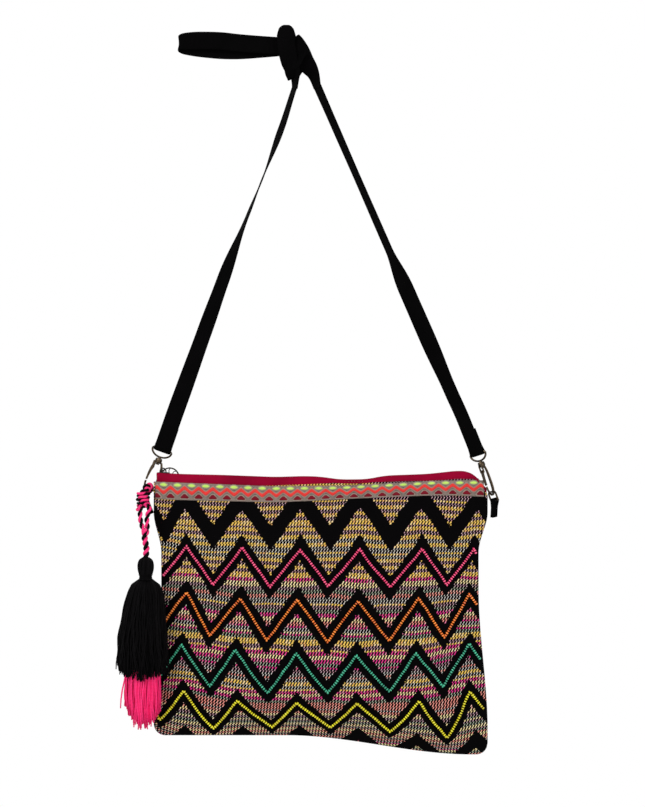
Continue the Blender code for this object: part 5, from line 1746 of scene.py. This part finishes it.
@dataclass
class Strap:
    """The knotted webbing strap, sewn round an eye at each end."""

    sides: tuple[HookSide, HookSide]
    webbing: Webbing = field(default_factory=Webbing)
    fold_length: float = 0.0240
    back_length: float = 0.0210

    def frame_of(self, side: HookSide) -> tuple[np.ndarray, np.ndarray, np.ndarray, np.ndarray]:
        """Bar, direction, width direction and upper end of one leg.

        Args:
            side: The side of the bag.

        Returns:
            The middle of the bar, the two directions and the upper end.
        """
        head = Vector((side.outward * 0.0105, 0.0, -0.0103))
        across = side.eye_turned @ Vector((1.0, 0.0, 0.0))
        up = head - side.bar
        up = (up - across * up.dot(across)).normalized()
        return np.array(side.bar), np.array(up), np.array(across), np.array(head)

    def leg(self, side: HookSide, twist: Twist) -> bpy.types.Object:
        """One leg of the strap, with its sewn fold.

        Args:
            side: The side of the bag.
            twist: Turns of the leg.

        Returns:
            The leg.
        """
        bar, up, across, head = self.frame_of(side)
        fold = self.webbing.fold(bar, up, across, (self.back_length, self.fold_length), 12)
        start = fold[-1]
        steps = 110
        share = np.linspace(0.0, 1.0, steps + 1)[1:]
        bow = np.sin(math.pi * share)[:, None] * np.array([0.0, 0.0008, 0.0])
        straight = start + (head - start) * share[:, None] + bow
        if twist is Twist.LEFT:
            straight[:, 0] += 0.0033 * eased((share - 0.45) / 0.40) - 0.0013 * eased((share - 0.88) / 0.12)
        soft = np.minimum(1.0, share / 0.10)[:, None]
        ahead = start + up * (share * np.linalg.norm(head - start))[:, None]
        straight = ahead * (1.0 - eased(soft)) + straight * eased(soft)
        level = unit(np.array([up[2], 0.0, -up[0]]))
        first = math.degrees(math.atan2(across[1], float(across @ level)))
        marks = np.array([(0.0, first), (0.04, first)] + list(twist.value))
        roll = []
        for place in share:
            index = min(int(np.searchsorted(marks[:, 0], place)), len(marks) - 1)
            low, high = marks[index - 1], marks[index]
            roll.append(mixed(low[1], high[1], eased((place - low[0]) / (high[0] - low[0]))))
        roll = np.radians(np.array(roll))[:, None]
        sides = level * np.cos(roll) + np.array([0.0, 1.0, 0.0]) * np.sin(roll)
        path = np.vstack([fold, straight])
        widths = np.vstack([np.tile(across, (len(fold), 1)), sides])
        return self.webbing.sweep(f"strap_leg_{side.name}", path, widths)

    def turn(self, name: str, points: Sequence[tuple[Sequence[float], Sequence[float]]],
             widths: Sequence[float] | None = None, steps: int = 9) -> bpy.types.Object:
        """One turn of the knot.

        Args:
            name: The object's name.
            points: Its chosen points, each with its width direction.
            widths: Share of its width at each of them.
            steps: Number of parts between two of them.

        Returns:
            The turn.
        """
        path = curve_points([place for place, _ in points], steps)
        across = curve_points([direction for _, direction in points], steps)
        shares = np.ones(len(points)) if widths is None else np.array(widths)
        flare = np.interp(np.linspace(0.0, len(points) - 1.0, len(path)), np.arange(len(points)), shares)
        return self.webbing.sweep(name, path, unit(across), flare)

    def knot(self) -> bpy.types.Object:
        """The knot and the loop of strap left over.

        Returns:
            The knot with its loop.
        """
        left = [((-0.0088, 0.0, -0.0120), (0.32, -0.95, 0.0)),
                ((-0.0088, -0.0020, -0.0040), (0.48, -0.86, -0.10)),
                ((-0.0112, -0.0054, 0.0040), (0.85, -0.45, 0.20)),
                ((-0.0138, -0.0070, 0.0120), (0.93, -0.10, 0.34)),
                ((-0.0158, -0.0074, 0.0225), (0.98, 0.0, 0.20)),
                ((-0.0160, -0.0068, 0.0320), (1.0, 0.05, 0.05)),
                ((-0.0160, -0.0044, 0.0384), (1.0, 0.05, 0.0)),
                ((-0.0158, -0.0012, 0.0414), (1.0, 0.05, 0.0)),
                ((-0.0156, 0.0034, 0.0384), (1.0, 0.0, 0.0)),
                ((-0.0148, 0.0060, 0.0260), (1.0, 0.0, 0.0)),
                ((-0.0130, 0.0060, 0.0140), (1.0, 0.0, 0.1)),
                ((-0.0100, 0.0050, 0.0040), (0.95, 0.0, 0.2))]
        left_widths = (1.0, 1.0, 1.0, 1.0, 1.03, 1.08, 0.84, 0.32, 0.80, 1.0, 1.0, 0.9)
        right = [((0.0106, 0.0, -0.0120), (0.40, -0.91, 0.0)),
                 ((0.0074, -0.0010, -0.0010), (0.60, -0.76, 0.20)),
                 ((0.0010, -0.0036, 0.0090), (0.88, -0.10, 0.44)),
                 ((-0.0030, -0.0046, 0.0180), (0.86, 0.10, 0.48)),
                 ((-0.0075, -0.0044, 0.0250), (0.80, 0.0, 0.58)),
                 ((-0.0110, -0.0010, 0.0290), (0.78, 0.0, 0.62)),
                 ((-0.0100, 0.0040, 0.0270), (0.82, 0.0, 0.56)),
                 ((-0.0050, 0.0052, 0.0180), (0.92, 0.0, 0.38)),
                 ((-0.0010, 0.0046, 0.0070), (1.0, 0.0, 0.1))]
        tip = -0.1085
        loop = [(-0.0060, -0.0030, 0.0240), (-0.0200, -0.0022, 0.0238), (-0.0350, -0.0024, 0.0246),
                (-0.0560, -0.0030, 0.0262), (-0.0730, -0.0030, 0.0280), (-0.0920, -0.0026, 0.0284),
                (tip + 0.0050, -0.0022, 0.0276), (tip + 0.0012, -0.0012, 0.0266), (tip + 0.0006, 0.0, 0.0262),
                (tip + 0.0012, 0.0012, 0.0256), (tip + 0.0050, 0.0022, 0.0244), (-0.0920, 0.0026, 0.0226),
                (-0.0730, 0.0030, 0.0208), (-0.0560, 0.0030, 0.0206), (-0.0350, 0.0024, 0.0220),
                (-0.0200, 0.0020, 0.0232), (-0.0060, 0.0025, 0.0238)]
        loop_widths = [1.0] * 6 + [0.97, 0.82, 0.72, 0.82, 0.97] + [1.0] * 6
        pieces = [self.turn("knot_left", left, left_widths), self.turn("knot_right", right),
                  self.turn("knot_loop", [(place, (0.0, 0.0, 1.0)) for place in loop], loop_widths, 6),
                  self.lump()]
        return joined("strap_knot", pieces)

    def lump(self) -> bpy.types.Object:
        """The folded turn that bulges below the loop.

        Returns:
            The turn.
        """
        points = [((-0.0030, -0.0040, 0.0190), (0.80, 0.0, 0.60)),
                  ((-0.0085, -0.0062, 0.0110), (0.82, -0.10, 0.56)),
                  ((-0.0122, -0.0066, 0.0030), (0.86, -0.15, 0.48)),
                  ((-0.0116, -0.0030, -0.0040), (0.88, -0.10, 0.45)),
                  ((-0.0104, 0.0010, -0.0010), (0.88, 0.0, 0.45)),
                  ((-0.0070, 0.0020, 0.0080), (0.85, 0.0, 0.50))]
        return self.turn("knot_lump", points, (1.0, 1.0, 0.75, 0.45, 0.75, 1.0))

    def build(self) -> None:
        """Make the strap's pieces and dress them."""
        black = WovenFinish("black_webbing", (0.0024, 0.0022, 0.0024), 1.1, 0.8, 0.8, 0.0003, 0.6, 0.01)
        black = black.material()
        dress(self.knot(), black, "webbing", "shoulder_strap")
        for side, twist in zip(self.sides, Twist):
            leg = self.leg(side, twist)
            leg.data.materials.append(black)
            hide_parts(f"strap_end_{side.name}")
            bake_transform(leg)
        LOG.info("strap: knot, loop and two legs")


@dataclass
class Hardware:
    """Rings, hooks and cloth tabs of both sides."""

    sides: tuple[HookSide, HookSide]
    pouch: Pouch
    tab_width: float = 0.0082
    tab_thickness: float = 0.0013
    tab_length: float = 0.0150
    tab_gap: float = 0.00045
    right_turn: float = 30.0

    def tab(self, side: HookSide) -> None:
        """Make the cloth tab that holds a ring.

        Args:
            side: The side of the bag.
        """
        webbing = Webbing(self.tab_width, self.tab_thickness)
        foot_z = side.foot.z - self.tab_length * 0.94
        seam = self.pouch.left_edge if side.name == "left" else self.pouch.right_edge
        edge = seam(np.array(foot_z))
        turn = 0.0 if side.name == "left" else math.sin(math.radians(self.right_turn))
        reach = self.tab_thickness + self.tab_gap + 0.5 * self.tab_width * turn
        foot = Vector((float(edge) + side.outward * reach, side.foot.y, foot_z))
        across = side.ring_turned @ Vector((0.0, 1.0, 0.0))
        down = foot - side.foot
        length = down.length
        down = (down - across * down.dot(across)).normalized()
        over = np.array(across)
        path = webbing.fold(np.array(side.foot), np.array(down), over, (length, length), 10)
        made = webbing.sweep(f"ring_tab_{side.name}", path, np.tile(over, (len(path), 1)))
        dress(made, bpy.data.materials["black_webbing"], "tab", f"side_tab_{side.name}")

    def build(self) -> None:
        """Dress the rings and hooks and make the tabs."""
        bronze = MetalFinish("antique_bronze", Metal.BRONZE, 0.9).material()
        for side in self.sides:
            self.tab(side)
            for part in ("d_ring", "hook_body", "hook_gate", "hook_eye"):
                redress(f"{part}_{side.name}", bronze)
        LOG.info("hardware: tabs, rings and hooks")


# Tassel


@dataclass
class Tassel:
    """Twisted cord, bound head and two skirts of yarn."""

    side: HookSide
    black_strands: int = 620
    pink_strands: int = 330
    skirt_length: float = 0.0860
    pink_length: float = 0.1270

    @property
    def knot(self) -> np.ndarray:
        """Middle of the cord's knot."""
        return np.array(self.side.ring) + np.array([-0.0038, -0.0122, -0.0078])

    @property
    def head(self) -> np.ndarray:
        """Top of the tassel's head."""
        return np.array(self.side.ring) + np.array([-0.0010, -0.0207, -0.0580])

    def twisted(self, path: np.ndarray, radius: float, pitch: float, phase: float) -> list[np.ndarray]:
        """Paths of the two plies of a cord round its own path.

        Args:
            path: The cord's path.
            radius: Distance of a ply from it.
            pitch: Length of a full turn.
            phase: Turn at its start.

        Returns:
            One path for each ply.
        """
        travel = travelled(path)
        along = unit(np.gradient(path, axis=0))
        guide = np.tile([0.0, 1.0, 0.0], (len(path), 1))
        guide[np.abs(along[:, 1]) > 0.85] = (1.0, 0.0, 0.0)
        first = unit(np.cross(along, guide))
        for index in range(1, len(first)):
            moved = first[index - 1] - along[index] * (first[index - 1] @ along[index])
            first[index] = unit(moved)
        second = np.cross(along, first)
        plies = []
        for half in (0.0, math.pi):
            angle = (2.0 * math.pi * travel / pitch + phase + half)[:, None]
            plies.append(path + radius * (first * np.cos(angle) + second * np.sin(angle)))
        return plies

    def cord(self) -> None:
        """Make the two-colour cord: its turn round the ring, its knot and its length to the head."""
        ring, knot, head = np.array(self.side.ring) + [0.0, -0.00175, 0.0], self.knot, self.head
        circle = [ring + 0.0031 * np.array([math.cos(angle), 0.0, math.sin(angle)])
                  for angle in np.linspace(-0.6, 5.2, 12)]
        wound = []
        for angle in np.linspace(0.4, 7.4 * math.pi, 34):
            level = 0.0064 - 0.0042 * angle / (2.0 * math.pi) + 0.0016 * math.cos(angle)
            wound.append(knot + np.array([0.0042 * math.cos(angle), -0.0034 * math.sin(angle), level]))
        up = curve_points(circle + wound, 8)
        right = curve_points([knot + [0.0022, -0.0020, -0.0060], head + [0.0030, 0.0010, 0.0420],
                              head + [0.0010, 0.0006, 0.0330], head + [0.0014, 0.0006, 0.0250],
                              head + [0.0004, 0.0, 0.0190]], 12)
        left = curve_points([knot + [-0.0032, 0.0004, -0.0070], head + [-0.0044, 0.0, 0.0420],
                             head + [-0.0048, 0.0, 0.0350], head + [-0.0034, 0.0, 0.0275],
                             head + [-0.0008, 0.0, 0.0200]], 12)
        low = curve_points([head + [-0.0006, 0.0, 0.0240], head + [-0.0008, 0.0, 0.0160],
                            head + [0.0006, 0.0, 0.0080], head + [0.0, 0.0, -0.0015]], 16)
        cords = ((up, 0.0, 0.00112, 0.0105), (right, 1.0, 0.00112, 0.0105), (left, 2.2, 0.00112, 0.0105),
                 (low, 0.6, 0.00142, 0.0088))
        parts = [(self.twisted(path, 0.95 * ply, pitch, phase), ply) for path, phase, ply, pitch in cords]
        finishes = (StrandFinish("pink_cord", (0.85, 0.010, 0.14), (1.0, 0.06, 0.26), 0.6, 0.9),
                    StrandFinish("black_cord", BLACK_YARN, (0.004, 0.003, 0.004), 0.7, 0.9, 0.03))
        for index, (name, finish) in enumerate(zip(("cord_pink", "cord_black"), finishes)):
            items = []
            for plies, ply in parts:
                path = plies[index]
                items.append(bundle(name, path[None], np.full((1, len(path)), ply), 10, np.array([0.5])))
            nodes = ["tassel_cord"] if name == "cord_pink" else []
            dress(joined(name, items), finish.material(), "tassel_cord", *nodes, body="tassel")

    def head_body(self) -> None:
        """Make the head: yarn drawn over a core and bound at the neck."""
        profile = np.array([(0.0, 0.0016), (0.0008, 0.0036), (0.0028, 0.0058), (0.0062, 0.0068),
                            (0.0105, 0.0067), (0.0140, 0.0058), (0.0165, 0.0048), (0.0195, 0.0056)])
        count = 64
        rng = np.random.default_rng(3)
        levels = curve_points(np.column_stack([profile, np.zeros(len(profile))]), 4)[:, :2]
        paths = []
        for index in range(count):
            angle = 2.0 * math.pi * index / count + rng.normal(0.0, 0.02)
            sway = 0.05 * np.sin(levels[:, 0] * 180.0 + index)
            out = levels[:, 1] - 0.0002
            paths.append(np.stack([self.head[0] + out * np.cos(angle + sway),
                                   self.head[1] + out * np.sin(angle + sway),
                                   self.head[2] - levels[:, 0]], -1))
        girth = np.full((count, len(levels)), 0.00042)
        made = bundle("head_yarn", np.array(paths), girth, 5, rng.random(count))
        ring = np.linspace(0.0, 2.0 * math.pi, 40, endpoint=False)
        turns = []
        for row in range(7):
            level = 0.0148 + 0.0005 * row
            reach = float(np.interp(level, profile[:, 0], profile[:, 1])) + 0.0003
            turns.append(np.stack([self.head[0] + reach * np.cos(ring), self.head[1] + reach * np.sin(ring),
                                   np.full(40, self.head[2] - level)], -1))
        girth = np.full((7, 40), 0.0003)
        band = bundle("head_binding", np.array(turns), girth, 5, np.full(7, 0.3), closed=True)
        core = []
        for level, reach in levels:
            angle = np.linspace(0.0, 2.0 * math.pi, 24, endpoint=False)
            core.append(np.stack([self.head[0] + (reach - 0.0004) * np.cos(angle),
                                  self.head[1] + (reach - 0.0004) * np.sin(angle),
                                  np.full(24, self.head[2] - level - 0.0001)], -1))
        flat = np.zeros((len(levels), 24, 2))
        filling = grid_object("head_core", np.array(core), flat, wrap=(False, True), flip=True)
        made = joined("tassel_head_yarn", [made, band, filling])
        dress(made, bpy.data.materials["black_yarn"], "tassel_black", "tassel_head", body="tassel")

    def skirt(self, name: str, count: int, outline: Sequence[tuple[float, float]],
              lengths: tuple[float, float], taper: float, depth: float, thin: float,
              seed: int) -> bpy.types.Object:
        """Strands of yarn that fill a bell.

        Args:
            name: The object's name.
            count: Number of strands.
            outline: Distance below the neck and radius of the bell.
            lengths: Shortest and longest strand.
            taper: How much shorter the strands at the sides are.
            depth: Depth of the bell as a share of its width.
            thin: Radius of a strand.
            seed: Seed of its random values.

        Returns:
            The skirt.
        """
        rng = np.random.default_rng(seed)
        rows = 15
        neck = self.head + np.array([0.0, 0.0, -0.0185])
        angle = rng.random(count) * 2.0 * math.pi
        fill = np.sqrt(mixed(0.30, 1.0, rng.random(count)))
        length = mixed(lengths[0], lengths[1], rng.random(count) ** 0.45)
        length = length * (1.0 - taper * (fill * np.cos(angle)) ** 2 + 0.02 * np.sin(9.0 * angle + seed))
        place = np.array(outline)
        share = np.linspace(0.0, 1.0, rows)[None, :]
        drop = length[:, None] * share
        reach = np.interp(drop.ravel(), place[:, 0], place[:, 1]).reshape(count, rows) * fill[:, None]
        sway = (rng.normal(0.0, 0.12, (count, 1)) * share
                + 0.06 * np.sin(6.0 * share + 6.28 * rng.random((count, 1))))
        turn = angle[:, None] + sway
        shift = -0.0026 * eased(drop / 0.05)
        loose = np.where(rng.random((count, 1)) < 0.08, rng.normal(0.0, 0.0035, (count, 1)), 0.0) * share ** 4
        waves = loose + 0.0008 * np.sin(18.0 * share + 6.28 * rng.random((count, 1))) * share
        paths = np.stack([neck[0] + shift + reach * np.cos(turn) + waves,
                          neck[1] - 0.0010 * eased(drop / 0.03) + reach * depth * np.sin(turn),
                          neck[2] - drop], -1)
        radii = np.broadcast_to(thin * (1.0 - 0.35 * share ** 6), (count, rows))
        return bundle(name, paths, radii, 4, np.clip(rng.normal(0.45, 0.3, count), 0.0, 1.0))

    def build(self) -> None:
        """Make the tassel's pieces and dress them."""
        black = StrandFinish("black_yarn", BLACK_YARN, (0.0050, 0.0045, 0.0050), 0.75, 1.2, 0.03).material()
        pink = StrandFinish("pink_yarn", (0.86, 0.008, 0.12), (1.0, 0.04, 0.22), 0.6, 1.2).material()
        self.cord()
        self.head_body()
        bell = [(0.0, 0.0050), (0.0012, 0.0085), (0.0030, 0.0110), (0.0103, 0.0148), (0.0187, 0.0171),
                (0.0327, 0.0192), (0.0516, 0.0213), (0.0670, 0.0223), (0.0900, 0.0224)]
        outer = self.skirt("skirt_black", self.black_strands, bell, (0.0700, self.skirt_length), 0.10, 0.56,
                           0.00062, 11)
        dress(outer, black, "tassel_black", "tassel_skirt_black", body="tassel")
        inner = [(0.0, 0.0030), (0.0150, 0.0085), (0.0400, 0.0120), (0.0700, 0.0140), (0.0900, 0.0150),
                 (0.1100, 0.0150), (0.1300, 0.0140)]
        long = self.skirt("skirt_pink", self.pink_strands, inner, (0.1120, self.pink_length), 0.14, 0.52,
                          0.00075, 12)
        dress(long, pink, "tassel_pink", "tassel_skirt_pink", body="tassel")
        LOG.info("tassel: cord, head and two skirts")


# Studio


@dataclass
class Studio:
    """Pale floor, soft lamps and the camera."""

    centre: tuple[float, float] = (0.01505, -0.2834)
    distance: float = 2.0
    frame_height: float = 0.6940
    floor: float = -0.70

    def seen(self, graph: Graph) -> Socket:
        """1 where the camera or a reflection looks, 0 where light falls.

        Args:
            graph: The graph.

        Returns:
            The value.
        """
        path = graph.node("ShaderNodeLightPath")
        mirrored = graph.math("MAXIMUM", path.outputs["Is Glossy Ray"], path.outputs["Is Transmission Ray"])
        return graph.math("MAXIMUM", path.outputs["Is Camera Ray"], mirrored)

    def white(self, name: str) -> bpy.types.Material:
        """Pale floor that the camera and reflections see as white.

        Args:
            name: The name of what is made.

        Returns:
            The material.
        """
        made, graph, inputs = principled(name, 0.9, 0.0, 0.0)
        seen = self.seen(graph)
        graph.feed(inputs["Base Color"], graph.mix(seen, (0.8, 0.8, 0.8), (0.0, 0.0, 0.0)))
        inputs["Emission Color"].default_value = (1.0, 1.0, 1.0, 1.0)
        graph.feed(inputs["Emission Strength"], seen)
        return made

    def lamp(self, name: str, place: Sequence[float], size: float, power: float) -> None:
        """Add an area lamp that looks at the bag.

        Args:
            name: The name of what is made.
            place: Where the lamp stands.
            size: Its size.
            power: Its power.
        """
        data = bpy.data.lights.new(name, "AREA")
        data.size = size
        data.energy = power
        made = placed(name, data)
        made.location = place
        aim = Vector((self.centre[0], 0.0, self.centre[1])) - made.location
        made.rotation_euler = aim.to_track_quat("-Z", "Y").to_euler()

    def build(self) -> None:
        """Make the floor, the lamps, the world and the camera."""
        deselect()
        bpy.ops.mesh.primitive_plane_add(size=12.0, location=(0.0, 1.5, self.floor))
        floor = bpy.context.active_object
        floor.name = "studio_floor"
        floor.data.materials.append(self.white("floor_white"))
        world = bpy.data.worlds.new("studio")
        bpy.context.scene.world = world
        world.use_nodes = True
        graph = Graph(world.node_tree)
        back = world.node_tree.nodes["Background"]
        graph.feed(back.inputs["Strength"], graph.spread(self.seen(graph), 0.0, 1.0, 0.55, 1.0))
        back.inputs["Color"].default_value = (1.0, 1.0, 1.0, 1.0)
        self.lamp("key", (-1.3, -1.9, 1.0), 1.4, 38.0)
        self.lamp("fill", (1.6, -1.6, 0.1), 1.6, 16.0)
        self.lamp("rim", (0.2, 1.6, 0.9), 1.2, 14.0)
        data = bpy.data.cameras.new("camera")
        data.sensor_fit = "AUTO"
        data.sensor_width = 36.0
        data.lens = 36.0 * self.distance / self.frame_height
        camera = placed("camera", data)
        camera.location = (self.centre[0], -self.distance, self.centre[1])
        camera.rotation_euler = (math.pi / 2.0, 0.0, 0.0)
        bpy.context.scene.camera = camera
        bpy.context.scene.view_settings.view_transform = "Standard"
        LOG.info("studio: floor, lamps and camera")


def main() -> None:
    """Build every piece in order."""
    logging.basicConfig(level=logging.INFO, format="%(message)s")
    Studio().build()
    build_effects()
    pouch = Pouch()
    chevrons = Chevrons()
    left = HookSide.at_seam(pouch, "left", 0.0048, 0.0060, 0.0045, 19.5, (0.0, 0.0, -10.0), 0.00175)
    right = HookSide.at_seam(pouch, "right", 0.0034, 0.0089, 0.0, -20.0, (30.0, 57.0, -44.0), 0.0)
    drape = Drape(pouch)
    PouchCloth(pouch, drape, chevrons).build()
    ZipClosure(pouch).build()
    TrimBand(pouch).build()
    for colour in BeadColour:
        BeadRow(drape, chevrons, colour).build()
    Strap((left, right)).build()
    Hardware((left, right), pouch).build()
    Tassel(left).build()


if __name__ == "__main__":
    main()
